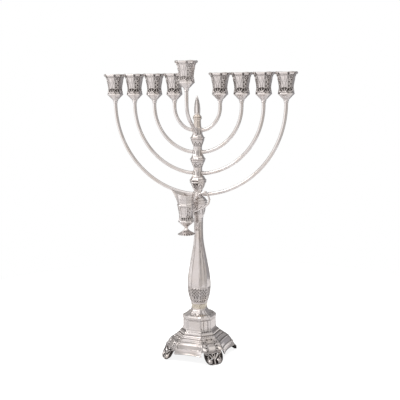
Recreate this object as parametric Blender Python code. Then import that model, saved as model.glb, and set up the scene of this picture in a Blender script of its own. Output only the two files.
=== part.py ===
"""Nine-light silver menorah with a hanging oil jug, built as the separate pieces it is assembled from.

All sizes here are in millimetres; each mesh is scaled to metres as it is made. +Z is up, the eight arms
lie along X, and the shamash arm, the hook and the jug are at the front, towards -Y. The table is z = 0.
Heights are measured from the table and half widths from the stem's axis.

Nearly every piece has the same cross-section: a square with canted corners, square to X and Y.
"""

import math

import bmesh
import bpy
from mathutils import Matrix, Vector

MM = 0.001
GAP = 0.3  # clearance between two pieces that touch on the real object
WALL = 1.5  # thickness of the hollow stem pieces

# Overall layout
STEM_Y = 2.8  # the stem's axis stands this far behind the middle of the outline
BRANCHES = 4  # arms on each side
ARM_REACH = 43.0  # innermost cup axis to stem axis
ARM_PITCH = 39.3  # cup axis to the next cup axis
HUB_TOP_Z = 405.5  # height at which the innermost arms leave the stem
HUB_PITCH = 37.3  # from one pair of arms down to the next
CUP_RIM_Z = 506.6
SHAMASH_RIM_Z = 527.0
SHAMASH_OUT = 47.0  # shamash cup axis in front of the stem axis

# Tubes, studs and the tie rod
TUBE_R = 3.1
STUD_R = 1.9
STUD_LENGTH = 7.0
COLLAR_R = 3.9
SOCKET_DEPTH = 3.0
ROD_R = 3.0
BORE_R = 3.5
TUBE_SIDES = 10

# Canted corner legs as a share of the half width
STEM_CANT = 0.55
BASE_CANT = 0.51
CUP_CANT = 0.50

# Hubs: the short necks that hold the arms. Each flares out below into the knop under it.
HUB_BELOW = 6.0
HUB_ABOVE = 5.7
HUB_TOP_HALF = 6.9
HUB_WAIST = 7.9
HUB_FLARES = (8.7, 9.9, 10.7, 11.7)  # half width at the bottom, from the top hub down

# Knops, from the top one down
KNOP_HALVES = (12.3, 13.1, 14.1, 15.5)
KNOP_RIDGE_DROP = 11.6  # the upper ridge, below the arms above it
KNOP_RIDGES = 3.6  # from the upper ridge down to the lower one
LOWER_RIDGE_IN = (1.0, 0.9, 0.2, 0.2)  # how much narrower the lower ridge is
SLIM_TAPER = ((0.28, 0.03), (0.42, 0.15), (0.62, 0.35), (0.84, 0.57), (0.95, 0.72))  # height and width shares
FULL_TAPER = ((0.20, 0.10), (0.42, 0.38), (0.62, 0.53), (0.84, 0.71), (0.95, 0.85))
KNOP_NECK = 6.9
BALUSTER_TOP_Z = 247.7
BALUSTER_NECK = 7.6

# Base
BLOCK_BOTTOM_Z = 46.3
ROOF_TOP_Z = 87.0
COLLAR_TOP_Z = 95.0
SKIRT_TOP_Z = 46.0
SKIRT_BOTTOM_Z = 13.0
SKIRT_INCURVE = 5.0  # how far each side of the skirt curves in at its foot
LEDGE_HALF = 26.0
FOOT_WIDTH = 35.0
FOOT_HEIGHT = 21.0
FOOT_THICK = 4.0
FOOT_TOP_REACH = 58.6  # stem axis to the foot's face, along the diagonal
FOOT_FLOOR_REACH = 71.5
FOOT_CURL = 0.9  # below 1 the face bulges outwards, above 1 it hollows inwards

# Jug
JUG_X = -10.2
JUG_Y = -32.0
JUG_WAIST_Z = 238.0
JUG_FLOOR_Z = 226.4
HANDLE_R = 1.6
HOOK_R = 1.7

SILVER = (0.86, 0.84, 0.82)
WARM_SILVER = (0.84, 0.78, 0.72)
STEEL = (0.55, 0.55, 0.57)


def clear_scene():
    for old in list(bpy.data.objects):
        bpy.data.objects.remove(old, do_unlink=True)


def metal(name, colour, roughness):
    material = bpy.data.materials.new(name)
    material.use_nodes = True
    shader = material.node_tree.nodes["Principled BSDF"]
    shader.inputs["Base Color"].default_value = (*colour, 1.0)
    shader.inputs["Metallic"].default_value = 1.0
    shader.inputs["Roughness"].default_value = roughness
    return material


def add_piece(name, bm, colour=SILVER, roughness=0.2):
    """Turns a bmesh in millimetres into a named object in metres, standing on the stem's axis."""
    bmesh.ops.recalc_face_normals(bm, faces=bm.faces)
    bmesh.ops.scale(bm, vec=(MM, MM, MM), verts=bm.verts)
    mesh = bpy.data.meshes.new(name)
    bm.to_mesh(mesh)
    bm.free()
    mesh.shade_smooth()
    mesh.set_sharp_from_angle(angle=math.radians(25))
    mesh.materials.append(metal(name, colour, roughness))
    piece = bpy.data.objects.new(name, mesh)
    bpy.context.scene.collection.objects.link(piece)
    piece.parent = stem_axis
    return piece


def cut_with(piece, cutter):
    """Cuts the cutter out of the piece, and leaves the cutter as a wire guide."""
    cutter.hide_render = True
    cutter.display_type = "WIRE"
    cut = piece.modifiers.new("cut_" + cutter.name, "BOOLEAN")
    cut.operation = "DIFFERENCE"
    cut.solver = "EXACT"
    cut.object = cutter


def canted_ring(half, z, cant, incurve=0.0, steps=1):
    """Points of one canted square, counter-clockwise from above. incurve pulls in the middle of each long side."""
    flat = half * (1 - cant)
    side = []
    for i in range(steps + 1):
        along = -flat + 2 * flat * i / steps
        pull = incurve * (1 - (along / flat) ** 2)
        side.append((along, -(half - pull)))
    ring = []
    for turn in range(4):
        c, s = ((1, 0), (0, 1), (-1, 0), (0, -1))[turn]
        ring.extend(Vector((c * x - s * y, s * x + c * y, z)) for x, y in side)
    return ring


def round_ring(radius, z, count=8):
    """A regular ring whose points line up with those of a canted ring."""
    start = -math.pi / 2 - math.pi / count
    turns = [start + 2 * math.pi * i / count for i in range(count)]
    return [Vector((radius * math.cos(t), radius * math.sin(t), z)) for t in turns]


def loft(rings, closed=False):
    """Skins a list of equal rings. closed joins the last ring to the first, otherwise both ends are capped."""
    bm = bmesh.new()
    made = [[bm.verts.new(p) for p in ring] for ring in rings]
    pairs = list(zip(made, made[1:]))
    if closed:
        pairs.append((made[-1], made[0]))
    for low, high in pairs:
        for i in range(len(low)):
            j = (i + 1) % len(low)
            bm.faces.new((low[i], low[j], high[j], high[i]))
    if not closed:
        bm.faces.new(reversed(made[0]))
        bm.faces.new(made[-1])
    return bm


def stem_piece(name, profile, cant=STEM_CANT, hollow=False, **finish):
    """Canted squares with a hole through them for the tie rod. profile is (z, half) from the bottom up.

    A hollow piece is a shell, whose inside follows every second step of its outside.
    """
    bore = BORE_R / math.cos(math.pi / 8)
    bottom, top = profile[0][0], profile[-1][0]
    rings = [canted_ring(half, z, cant) for z, half in profile]
    rings.append(round_ring(bore, top))
    if hollow:
        rings.append(round_ring(bore, top - WALL))
        rings += [canted_ring(half - WALL, z, cant) for z, half in profile[-2:0:-2]]
        rings.append(round_ring(bore, bottom + WALL))
    rings.append(round_ring(bore, bottom))
    return add_piece(name, loft(rings, closed=True), **finish)


def sweep(path, radii, count=TUBE_SIDES):
    """A round bar along a path of points, with one radius per point. The section is carried along untwisted."""
    rings = []
    ahead = (path[1] - path[0]).normalized()
    side = ahead.orthogonal().normalized()
    for i, (point, radius) in enumerate(zip(path, radii)):
        before = path[max(i - 1, 0)]
        after = path[min(i + 1, len(path) - 1)]
        if (after - before).length > 0:
            ahead = (after - before).normalized()
        side = (side - side.dot(ahead) * ahead).normalized()
        up = ahead.cross(side)
        turns = [2 * math.pi * k / count for k in range(count)]
        rings.append([point + radius * (math.cos(t) * side + math.sin(t) * up) for t in turns])
    return loft(rings)


def smooth_path(points, steps):
    """A Catmull-Rom curve through the points, with the given number of steps between each two."""
    points = [Vector(p) for p in points]
    ends = [2 * points[0] - points[1], *points, 2 * points[-1] - points[-2]]
    path = []
    for i in range(1, len(ends) - 2):
        a, b, c, d = ends[i - 1 : i + 3]
        for k in range(steps):
            t = k / steps
            bend = 2 * b + (c - a) * t + (2 * a - 5 * b + 4 * c - d) * t**2
            path.append(0.5 * (bend + (3 * b - a - 3 * c + d) * t**3))
    path.append(points[-1])
    return path


# Stem ---------------------------------------------------------------------------------------------------


def hub_z(n):
    return HUB_TOP_Z - HUB_PITCH * (n - 1)


def arm_reach(n):
    return ARM_REACH + ARM_PITCH * (n - 1)


def make_knop(n):
    """A double-ridged octagonal bud: it carries on the hub's flare, and tapers to a neck below."""
    wide = KNOP_HALVES[n - 1]
    flare = HUB_FLARES[n - 1]
    top = hub_z(n) - HUB_BELOW - GAP
    upper = hub_z(n) - KNOP_RIDGE_DROP
    lower = upper - KNOP_RIDGES
    last = n == BRANCHES
    bottom = BALUSTER_TOP_Z + GAP if last else hub_z(n + 1) + HUB_ABOVE + GAP
    neck = BALUSTER_NECK if last else KNOP_NECK
    taper = lower - bottom
    profile = [(bottom, neck)]
    inset = LOWER_RIDGE_IN[n - 1]
    for share, fill in SLIM_TAPER if n <= 2 else FULL_TAPER:
        profile.append((bottom + share * taper, neck + fill * (wide - neck)))
    profile.append((lower, wide - inset))
    profile.append((lower + 1.0, wide - inset - 0.2))
    profile.append((upper - 0.6, wide - 0.2))
    profile.append((upper + 0.5, wide))
    profile.append((upper + 1.6, wide - 0.8))
    profile.append((top, flare))
    stem_piece(f"knop_{n}", profile, hollow=True)


def make_hub(n):
    z = hub_z(n)
    flare = HUB_FLARES[n - 1]
    profile = [(z - HUB_BELOW, flare), (z - 3.8, 0.4 * flare + 0.6 * HUB_WAIST), (z - 2.4, HUB_WAIST)]
    profile += [(z + 2.0, HUB_WAIST), (z + HUB_ABOVE, HUB_TOP_HALF)]
    return stem_piece(f"hub_{n}", profile)


def make_baluster():
    profile = [
        (COLLAR_TOP_Z + GAP, 13.6),
        (98.5, 13.9),
        (104.0, 15.8),
        (111.0, 17.5),
        (118.0, 18.7),
        (124.0, 19.0),
        (131.0, 19.0),
        (141.0, 18.4),
        (152.0, 17.2),
        (166.0, 15.0),
        (180.0, 12.4),
        (194.0, 10.1),
        (206.0, 8.3),
        (216.0, 7.5),
        (230.0, 7.2),
        (BALUSTER_TOP_Z, BALUSTER_NECK),
    ]
    stem_piece("baluster", profile, hollow=True)


def make_finial():
    neck = [(HUB_TOP_Z + HUB_ABOVE + GAP, 6.6), (416.0, 6.0), (424.0, 5.8), (426.8, 6.3)]
    stem_piece("finial_neck", neck, colour=WARM_SILVER)
    ring = [(427.1, 6.6), (428.2, 7.7), (430.6, 7.7), (432.0, 6.6), (434.0, 6.0)]
    stem_piece("finial_collar", ring, colour=WARM_SILVER)
    outside = [(434.3, 4.8), (439.0, 5.1), (445.0, 5.1), (452.0, 4.5), (459.0, 3.3), (464.5, 1.9), (468.0, 0.5)]
    rings = [round_ring(BORE_R, 446.5), round_ring(BORE_R, outside[0][0])]
    rings += [canted_ring(half, z, STEM_CANT) for z, half in outside]
    add_piece("finial_spear", loft(rings))


# Arms ---------------------------------------------------------------------------------------------------


def arm_root(n):
    """Where arm n leaves its hub, as (x, z) on the hub's face, and the angle at which it climbs there."""
    reach = arm_reach(n)
    angle = math.asin(HUB_WAIST / reach)
    return Vector((HUB_WAIST, 0, hub_z(n) + reach * (1 - math.cos(angle)))), angle


def add_stud(path, radii, cup_bottom_z):
    """Ends a tube under its cup: a small collar, then the thinner stud that the cup sits on."""
    x, y = path[-1].x, path[-1].y
    for z, radius in (
        (cup_bottom_z - 2.6, TUBE_R),
        (cup_bottom_z - 2.2, COLLAR_R),
        (cup_bottom_z - GAP, COLLAR_R),
        (cup_bottom_z - GAP + 0.02, STUD_R),
        (cup_bottom_z - GAP + STUD_LENGTH, STUD_R),
    ):
        path.append(Vector((x, y, z)))
        radii.append(radius)


def make_arm(n, hub, sign, side):
    """A bent tube: a quarter circle about the stem's axis and a straight run up to its cup."""
    reach = arm_reach(n)
    root, climb = arm_root(n)
    along = Vector((math.cos(climb), 0, math.sin(climb)))
    path = [root - SOCKET_DEPTH * along]
    steps = 8 + 2 * n
    for i in range(steps + 1):
        angle = climb + (math.pi / 2 - climb) * i / steps
        path.append(Vector((reach * math.sin(angle), 0, hub_z(n) + reach * (1 - math.cos(angle)))))
    radii = [TUBE_R] * len(path)
    add_stud(path, radii, CUP_RIM_Z - CUP_HEIGHT)
    for point in path:
        point.x *= sign
    add_piece(f"arm_{side}_{n}", sweep(path, radii))
    reach_in = [root - SOCKET_DEPTH * along - GAP * along, root + 4 * along]
    for point in reach_in:
        point.x *= sign
    socket = add_piece(f"socket_guide_{side}_{n}", sweep(reach_in, [TUBE_R + GAP] * 2))
    cut_with(hub, socket)


def make_shamash_arm(hub):
    """The helper light's arm: down from its cup, round an arc, then straight into the front of the top hub."""
    bend = 38.0
    turn = math.radians(50)
    start = Vector((0, -SHAMASH_OUT, 454.6))
    centre = start + Vector((0, bend, 0))
    steps = 12
    arc = []
    for i in range(steps + 1):
        angle = turn * i / steps
        arc.append(centre + bend * Vector((0, -math.cos(angle), -math.sin(angle))))
    inward = Vector((0, math.sin(turn), -math.cos(turn)))
    face = arc[-1] + inward * ((-HUB_WAIST - arc[-1].y) / inward.y)
    path = [face + 2.4 * inward, *reversed(arc)]
    radii = [TUBE_R] * len(path)
    add_stud(path, radii, SHAMASH_RIM_Z - CUP_HEIGHT)
    add_piece("shamash_arm", sweep(path, radii))
    guide = sweep([face + (2.4 + GAP) * inward, face - 6 * inward], [TUBE_R + GAP] * 2)
    cut_with(hub, add_piece("socket_guide_shamash", guide))


# Cups ---------------------------------------------------------------------------------------------------

CUP_OUTSIDE = (
    (-48.6, 3.9),
    (-46.6, 4.4),
    (-43.5, 7.2),
    (-40.0, 10.4),
    (-37.2, 12.9),
    (-35.6, 13.8),
    (-33.8, 13.7),
    (-30.0, 12.6),
    (-26.0, 12.1),
    (-20.0, 12.6),
    (-13.0, 13.9),
    (-6.5, 15.7),
    (-3.2, 17.0),
    (-1.4, 18.2),
    (0.0, 18.2),
)
CUP_INSIDE = ((0.0, 16.9), (-3.6, 15.3), (-8.0, 13.8), (-14.0, 12.3), (-21.0, 11.1), (-28.0, 10.6), (-30.5, 9.6))
CUP_HEIGHT = -CUP_OUTSIDE[0][0]


def make_cup(name, x, y, rim_z):
    """A tulip oil cup: open bowl, chased waist, pyramid below it, and a blind hole for the arm's stud."""
    hole = STUD_R + GAP
    hole_top = CUP_OUTSIDE[0][0] + STUD_LENGTH + 0.6
    rings = [round_ring(hole / math.cos(math.pi / 8), z) for z in (hole_top, CUP_OUTSIDE[0][0])]
    rings += [canted_ring(half, z, CUP_CANT) for z, half in CUP_OUTSIDE + CUP_INSIDE]
    bm = loft(rings)
    bmesh.ops.translate(bm, vec=(x, y, rim_z), verts=bm.verts)
    add_piece(name, bm)


# Base ---------------------------------------------------------------------------------------------------


def make_pedestal_block():
    """The square block under the stem, with its pagoda roof. It is a shell, open below."""
    outside = [
        (BLOCK_BOTTOM_Z, 31.7),
        (47.4, 30.6),
        (49.4, 28.2),
        (52.0, 27.1),
        (55.0, 26.7),
        (68.6, 26.6),
        (69.6, 27.2),
        (70.6, 27.6),
        (74.0, 27.4),
        (75.6, 25.6),
        (77.5, 22.0),
        (80.0, 18.2),
        (83.5, 14.6),
        (ROOF_TOP_Z, 12.7),
    ]
    inside = [(ROOF_TOP_Z - 2.0, 9.0), (80.0, 15.0), (74.5, 22.5), (70.0, 23.4), (57.0, 23.6), (51.0, 25.6)]
    inside.append((BLOCK_BOTTOM_Z, 29.8))
    rings = [canted_ring(half, z, BASE_CANT) for z, half in outside]
    rings.append(round_ring(BORE_R / math.cos(math.pi / 8), ROOF_TOP_Z))
    rings.append(round_ring(BORE_R / math.cos(math.pi / 8), ROOF_TOP_Z - 2.0))
    rings += [canted_ring(half, z, BASE_CANT) for z, half in inside]
    add_piece("pedestal_block", loft(rings, closed=True))
    rim = [(ROOF_TOP_Z + GAP, 12.9), (89.0, 13.6), (93.6, 13.6), (COLLAR_TOP_Z, 13.0)]
    stem_piece("base_collar", rim, cant=BASE_CANT, colour=WARM_SILVER)


def skirt_ring(z, half):
    down = (SKIRT_TOP_Z - z) / (SKIRT_TOP_Z - SKIRT_BOTTOM_Z)
    return canted_ring(half, z, BASE_CANT, incurve=SKIRT_INCURVE * down, steps=4)


def make_base_skirt():
    """The stepped lower shell. Its corners are cut away below for the four feet."""
    outside = [
        (SKIRT_BOTTOM_Z, 59.5),
        (17.5, 57.0),
        (22.6, 54.9),
        (23.2, 53.9),
        (28.5, 50.8),
        (32.4, 47.8),
        (33.2, 46.6),
        (34.2, 45.8),
        (35.6, 43.4),
        (37.2, 40.8),
        (38.0, 38.8),
        (40.2, 37.3),
        (41.0, 36.0),
        (42.2, 35.2),
        (42.9, 33.0),
        (SKIRT_TOP_Z, 32.3),
    ]
    inside = [(SKIRT_TOP_Z, LEDGE_HALF), (44.0, LEDGE_HALF), (44.0, 31.0), (42.4, 31.2), (41.0, 33.4)]
    inside += [(36.0, 39.6), (32.6, 44.4), (22.0, 52.4), (SKIRT_BOTTOM_Z, 57.4)]
    rings = [skirt_ring(z, half) for z, half in outside + inside]
    skirt = add_piece("base_skirt", loft(rings, closed=True))
    corners = bmesh.new()
    for quarter in range(4):
        turn = Matrix.Rotation(math.radians(45 + 90 * quarter), 4, "Z")
        size = Matrix.Diagonal((30, FOOT_WIDTH, FOOT_HEIGHT, 1))
        place = Matrix.Translation((FOOT_TOP_REACH, 0, FOOT_HEIGHT / 2))
        bmesh.ops.create_cube(corners, size=1.0, matrix=turn @ place @ size)
    cut_with(skirt, add_piece("foot_notch_guide", corners))


def arc_points(centre, radius, start, end, steps):
    """Points on an arc in the foot's own plane; angles in degrees."""
    turns = [math.radians(start + (end - start) * i / steps) for i in range(steps + 1)]
    return [(centre[0] + radius * math.cos(t), centre[1] + radius * math.sin(t)) for t in turns]


def foot_outline():
    """Right half of the foot's face, from the middle of its top edge round to the middle of its toe."""
    half = FOOT_WIDTH / 2 - GAP
    top = FOOT_HEIGHT - GAP
    right = [(half, top), (half, 13.0)]
    right += arc_points((half - 3.4, 7.2), 3.4, 30, -120, 6)
    right += arc_points((8.4, 6.4), 1.6, 60, 200, 3)
    right += [(5.6, 2.6), (5.0, 0.0)]
    return right


def foot_reach(height):
    """How far out the foot's face stands at this height: it curls outwards towards the floor."""
    down = max(0.0, 1 - height / (FOOT_HEIGHT - GAP))
    return FOOT_TOP_REACH + (FOOT_FLOOR_REACH - FOOT_TOP_REACH) * down**FOOT_CURL


def make_foot(name, quarter):
    """A pierced scroll foot: a curled plate with two round openings and a flat toe."""
    right = foot_outline()
    outline = right + [(-x, z) for x, z in reversed(right)]
    holes = [arc_points((side * 7.6, 12.4), 2.6, 0, 315, 7) for side in (-1, 1)]
    bm = bmesh.new()
    loops = []
    for loop in (outline, *holes):
        verts = [bm.verts.new((0, x, z)) for x, z in loop]
        edges = [bm.edges.new((verts[i], verts[(i + 1) % len(verts)])) for i in range(len(verts))]
        loops.extend(edges)
    bmesh.ops.triangle_fill(bm, edges=loops, use_beauty=True)
    face = list(bm.faces)
    thick = bmesh.ops.extrude_face_region(bm, geom=face, use_keep_orig=True)
    back = {v for v in thick["geom"] if isinstance(v, bmesh.types.BMVert)}
    for vert in bm.verts:
        vert.co.x = foot_reach(vert.co.z) - (FOOT_THICK if vert in back else 0.0)
    turn = Matrix.Rotation(math.radians(45 + 90 * quarter), 3, "Z")
    bmesh.ops.rotate(bm, cent=(0, 0, 0), matrix=turn, verts=bm.verts)
    add_piece(name, bm)


def disc(name, radius, low, high, count):
    """A flat ring round the tie rod. Six sides make it a nut."""
    bore = BORE_R / math.cos(math.pi / count)
    rings = [round_ring(r, z, count) for r, z in ((radius, low), (radius, high), (bore, high), (bore, low))]
    add_piece(name, loft(rings, closed=True), colour=STEEL, roughness=0.35)


def make_fixings():
    """The rod that pulls the stem together, and the plate, washer and nut under the base that it pulls on."""
    plate_top = 44.0 - GAP
    plate = [(plate_top - 2.5, 30.0), (plate_top, 30.0)]
    stem_piece("bridge_plate", plate, cant=BASE_CANT, colour=STEEL, roughness=0.35)
    washer_top = plate_top - 2.5 - GAP
    disc("rod_washer", 8.5, washer_top - 1.2, washer_top, 16)
    nut_top = washer_top - 1.2 - GAP
    disc("rod_nut", 5.8, nut_top - 5.0, nut_top, 6)
    rod = sweep([Vector((0, 0, 32.0)), Vector((0, 0, 444.0))], [ROD_R] * 2, count=12)
    add_piece("tie_rod", rod, colour=STEEL, roughness=0.35)


# Jug ----------------------------------------------------------------------------------------------------


def jug_ring(z, half, spout=0.0, lift=0.0):
    """A canted ring at the jug's axis. spout draws the side at -X out to a lip and lift raises that lip."""
    ring = canted_ring(half, z, CUP_CANT)
    for point in ring:
        share = max(0.0, -point.x / half) ** 2
        pinch = 0.75 * share * min(1.0, spout / 12)
        point.x -= spout * share
        point.y *= 1 - pinch
        point.z += lift * share
        point.x += JUG_X
        point.y += JUG_Y
    return ring


def make_jug():
    outside = [
        (JUG_WAIST_Z, 2.6, 0, 0),
        (239.5, 3.0, 0, 0),
        (244.0, 7.6, 0, 0),
        (248.6, 12.2, 0, 0),
        (250.6, 12.9, 0, 0),
        (253.5, 12.3, 0, 0),
        (258.5, 11.0, 0, 0),
        (264.0, 11.3, 0, 0),
        (272.0, 12.8, 0, 0),
        (277.6, 13.5, 0, 0),
        (278.4, 14.1, 0, 0),
        (280.0, 14.1, 0, 0),
        (280.8, 13.3, 1.0, 0),
        (287.0, 13.2, 3.6, 1.0),
        (293.0, 13.8, 8.0, 3.4),
        (297.2, 14.4, 12.6, 7.6),
    ]
    inside = [
        (297.2, 13.2, 12.0, 7.4),
        (292.0, 12.4, 7.0, 3.0),
        (285.0, 11.8, 2.4, 0.6),
        (279.0, 11.9, 0, 0),
        (264.0, 9.9, 0, 0),
        (256.0, 9.6, 0, 0),
        (252.5, 9.4, 0, 0),
    ]
    rings = [jug_ring(*level) for level in outside + inside]
    add_piece("jug_body", loft(rings))
    hollow = [(230.0, 3.4), (JUG_FLOOR_Z, 12.0)]
    foot = [(JUG_FLOOR_Z, 13.9), (228.2, 13.9), (229.4, 11.6), (233.0, 6.0), (236.4, 3.2), (JUG_WAIST_Z - GAP, 2.6)]
    add_piece("jug_foot", loft([jug_ring(z, half) for z, half in hollow + foot]))
    handle = [
        (4.9, 291.5),
        (8.0, 295.0),
        (15.0, 298.9),
        (22.5, 301.6),
        (29.0, 300.0),
        (33.0, 293.5),
        (33.2, 286.5),
        (30.0, 280.6),
        (22.0, 275.6),
        (12.0, 270.6),
        (3.4, 266.6),
    ]
    path = smooth_path([(x, JUG_Y, z) for x, z in handle], 2)
    add_piece("jug_handle", sweep(path, [HANDLE_R] * len(path), count=8))


def make_hook(hub):
    """The hook on the lowest hub's front. It passes under the jug's handle and turns up to a ball beyond it."""
    route = [
        (0.0, -5.2, 293.6),
        (0.0, -HUB_WAIST, 293.6),
        (1.6, -13.0, 293.9),
        (9.0, -19.0, 294.4),
        (14.0, -26.0, 294.8),
        (15.0, -32.0, 294.9),
        (15.0, -36.8, 297.0),
        (15.0, -38.6, 300.6),
    ]
    path = smooth_path(route, 2)
    radii = [HOOK_R] * len(path)
    tip = path[-1]
    for rise, radius in ((0.8, 2.1), (2.2, 2.3), (3.4, 1.8), (4.2, 0.8)):
        path.append(tip + Vector((0, -0.25 * rise, rise)))
        radii.append(radius)
    add_piece("jug_hook", sweep(path, radii, count=8))
    guide = [Vector((0, -5.2 + GAP, 293.6)), Vector((0, -12.0, 293.6))]
    cut_with(hub, add_piece("socket_guide_hook", sweep(guide, [HOOK_R + GAP] * 2)))


# Assembly -----------------------------------------------------------------------------------------------

clear_scene()
stem_axis = bpy.data.objects.new("stem_axis", None)
stem_axis.location = (0, STEM_Y * MM, 0)
bpy.context.scene.collection.objects.link(stem_axis)

make_base_skirt()
for quarter, corner in enumerate(("rear_right", "rear_left", "front_left", "front_right")):
    make_foot(f"foot_{corner}", quarter)
make_pedestal_block()
make_fixings()
make_baluster()
hubs = [make_hub(n) for n in range(1, BRANCHES + 1)]
for number, hub in enumerate(hubs, 1):
    make_knop(number)
    for direction, side in ((-1, "left"), (1, "right")):
        make_arm(number, hub, direction, side)
        make_cup(f"cup_{side}_{number}", direction * arm_reach(number), 0.0, CUP_RIM_Z)
make_shamash_arm(hubs[0])
make_cup("cup_shamash", 0.0, -SHAMASH_OUT, SHAMASH_RIM_Z)
make_finial()
make_jug()
make_hook(hubs[-1])
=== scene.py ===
"""The looks of the nine-light silver menorah.

Every silver node of the CAD frame is replaced by a finely worked piece in the same place and size: chased,
panelled, pierced and scrolled. Sizes in the functions are in millimetres, x and y from the stem's axis and z
from the table, and make() turns them into metres. Most pieces are skins of canted squares: eight sides, of
which the even ones (MAIN) are square to X and Y and the odd ones (CANT) cut off the corners.
"""

import math

import bmesh
import bpy
import numpy as np
from mathutils import Matrix, Vector


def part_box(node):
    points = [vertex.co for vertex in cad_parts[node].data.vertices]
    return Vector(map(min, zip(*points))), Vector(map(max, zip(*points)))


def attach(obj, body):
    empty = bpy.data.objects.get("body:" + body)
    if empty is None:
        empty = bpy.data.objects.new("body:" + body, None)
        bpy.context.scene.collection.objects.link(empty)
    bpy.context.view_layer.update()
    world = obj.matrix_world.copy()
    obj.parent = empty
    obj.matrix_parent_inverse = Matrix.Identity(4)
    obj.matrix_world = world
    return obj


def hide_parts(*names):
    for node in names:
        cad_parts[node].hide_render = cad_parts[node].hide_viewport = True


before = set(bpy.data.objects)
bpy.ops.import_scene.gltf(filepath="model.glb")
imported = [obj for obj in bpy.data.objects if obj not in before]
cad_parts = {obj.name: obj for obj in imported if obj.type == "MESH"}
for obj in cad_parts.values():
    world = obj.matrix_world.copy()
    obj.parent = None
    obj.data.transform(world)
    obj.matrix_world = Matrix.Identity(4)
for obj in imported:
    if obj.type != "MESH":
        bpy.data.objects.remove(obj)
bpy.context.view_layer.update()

MM = 0.001
ROOT2 = math.sqrt(2)
MAIN, CANT = 0, 1
GAP = 0.3  # the CAD's clearance between two pieces

STEM_CANT = 0.55  # canted corner legs as a share of the half width
BASE_CANT = 0.51
CUP_CANT = 0.50
SOFT_EDGE = 0.14  # how far the edge between two sides is worn back
BORE = 3.8
TUBE_R = 3.1
SIDES, BRANCHES = ("left", "right"), 4


def box_mm(node):
    low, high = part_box(node)
    return low / MM, high / MM


def span(node):
    """The heights of a node's underside and top."""
    low, high = box_mm(node)
    return low.z, high.z


def bottom(node):
    return span(node)[0]


def top(node):
    return span(node)[1]


_low, _high = box_mm("baluster")
STEM_X, STEM_Y = (_low.x + _high.x) / 2, (_low.y + _high.y) / 2


def centre(node):
    """x, y of the middle of a node's box, from the stem's axis."""
    low, high = box_mm(node)
    return (low.x + high.x) / 2 - STEM_X, (low.y + high.y) / 2 - STEM_Y


# Materials ------------------------------


# The dark of oxide in the chased ground, also used for painted shade
OXIDE_AND_SHADE = (0.035, 0.026, 0.022, 1.0)
TARNISH = (0.93, 0.90, 0.86)  # the tint's share left where the silver is tarnished


def set_inputs(tree, node, inputs):
    """Gives each input its value, or links it where the value is another node's output."""
    for key, value in inputs.items():
        if isinstance(value, bpy.types.NodeSocket):
            tree.links.new(value, node.inputs[key])
        else:
            node.inputs[key].default_value = value


def add_node(tree, kind, inputs=None, **settings):
    node = tree.nodes.new("ShaderNode" + kind)
    for key, value in settings.items():
        setattr(node, key, value)
    set_inputs(tree, node, inputs or {})
    return node


def mix_colours(tree, factor, a, b):
    return add_node(tree, "Mix", {"Factor": factor, 6: a, 7: b}, data_type="RGBA").outputs[2]


def silver(name, tint, rough, ripple=0.05):
    """Polished silver: tarnish in patches, dark in the chased ground where it is oxide and elsewhere where it
    is painted shade, and fine hand-polishing marks.
    """
    material = bpy.data.materials.new(name)
    material.use_nodes = True
    tree = material.node_tree
    place = add_node(tree, "TexCoord").outputs["Object"]

    def noise(scale, detail, roughness=0.5):
        inputs = {"Vector": place, "Scale": scale, "Detail": detail, "Roughness": roughness}
        return add_node(tree, "TexNoise", inputs).outputs["Fac"]

    def combine(kind, a, b):
        return add_node(tree, "Math", {0: a, 1: b}, operation=kind, use_clamp=True).outputs[0]

    def bump(strength, distance, height, **under):
        inputs = {"Strength": strength, "Distance": distance, "Height": height, **under}
        return add_node(tree, "Bump", inputs).outputs["Normal"]

    chased = add_node(tree, "Attribute", attribute_name="oxide_and_shade").outputs["Fac"]
    spread = add_node(tree, "MapRange", {"Value": noise(55, 3), "From Min": 0.42, "From Max": 0.72})
    tarnished = [c * share for c, share in zip(tint, TARNISH)]
    toned = mix_colours(tree, spread.outputs[0], (*tint, 1.0), (*tarnished, 1.0))
    grime = noise(900, 4, 0.6)
    # The attribute turns the silver dark: oxide in the chased ground, and painted shade where the reliefs put
    # it.
    ground_and_shade = combine("MULTIPLY", chased, combine("ADD", grime, 0.45))
    worn = combine("ADD", combine("MULTIPLY", grime, 0.10), rough - 0.05)
    waves = bump(ripple, 0.0008, noise(130, 2))
    looks = {
        "Metallic": 1.0,
        "Base Color": mix_colours(tree, ground_and_shade, toned, OXIDE_AND_SHADE),
        "Roughness": combine("ADD", worn, combine("MULTIPLY", ground_and_shade, 0.35)),
        "Normal": bump(0.06, 0.00004, noise(2600, 3, 0.7), Normal=waves),
    }
    set_inputs(tree, tree.nodes["Principled BSDF"], looks)
    return material


POLISHED, ENGRAVED = "polished_silver", "chased_silver"  # names paired with the materials below
PLAIN = (silver("polished_silver", (0.84, 0.805, 0.795), 0.13), POLISHED)
WARM = (silver("warm_silver", (0.84, 0.77, 0.71), 0.15), POLISHED)
CREAM = (silver("tarnished_silver", (0.88, 0.83, 0.72), 0.20), POLISHED)
CHASED = (silver("chased_silver", (0.83, 0.79, 0.78), 0.16), ENGRAVED)
CUPS = (silver("cup_silver", (0.86, 0.82, 0.81), 0.17), ENGRAVED)
STEEL = silver("plated_steel", (0.52, 0.53, 0.55), 0.34, ripple=0.02)


# Meshes ------------------------------


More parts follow.
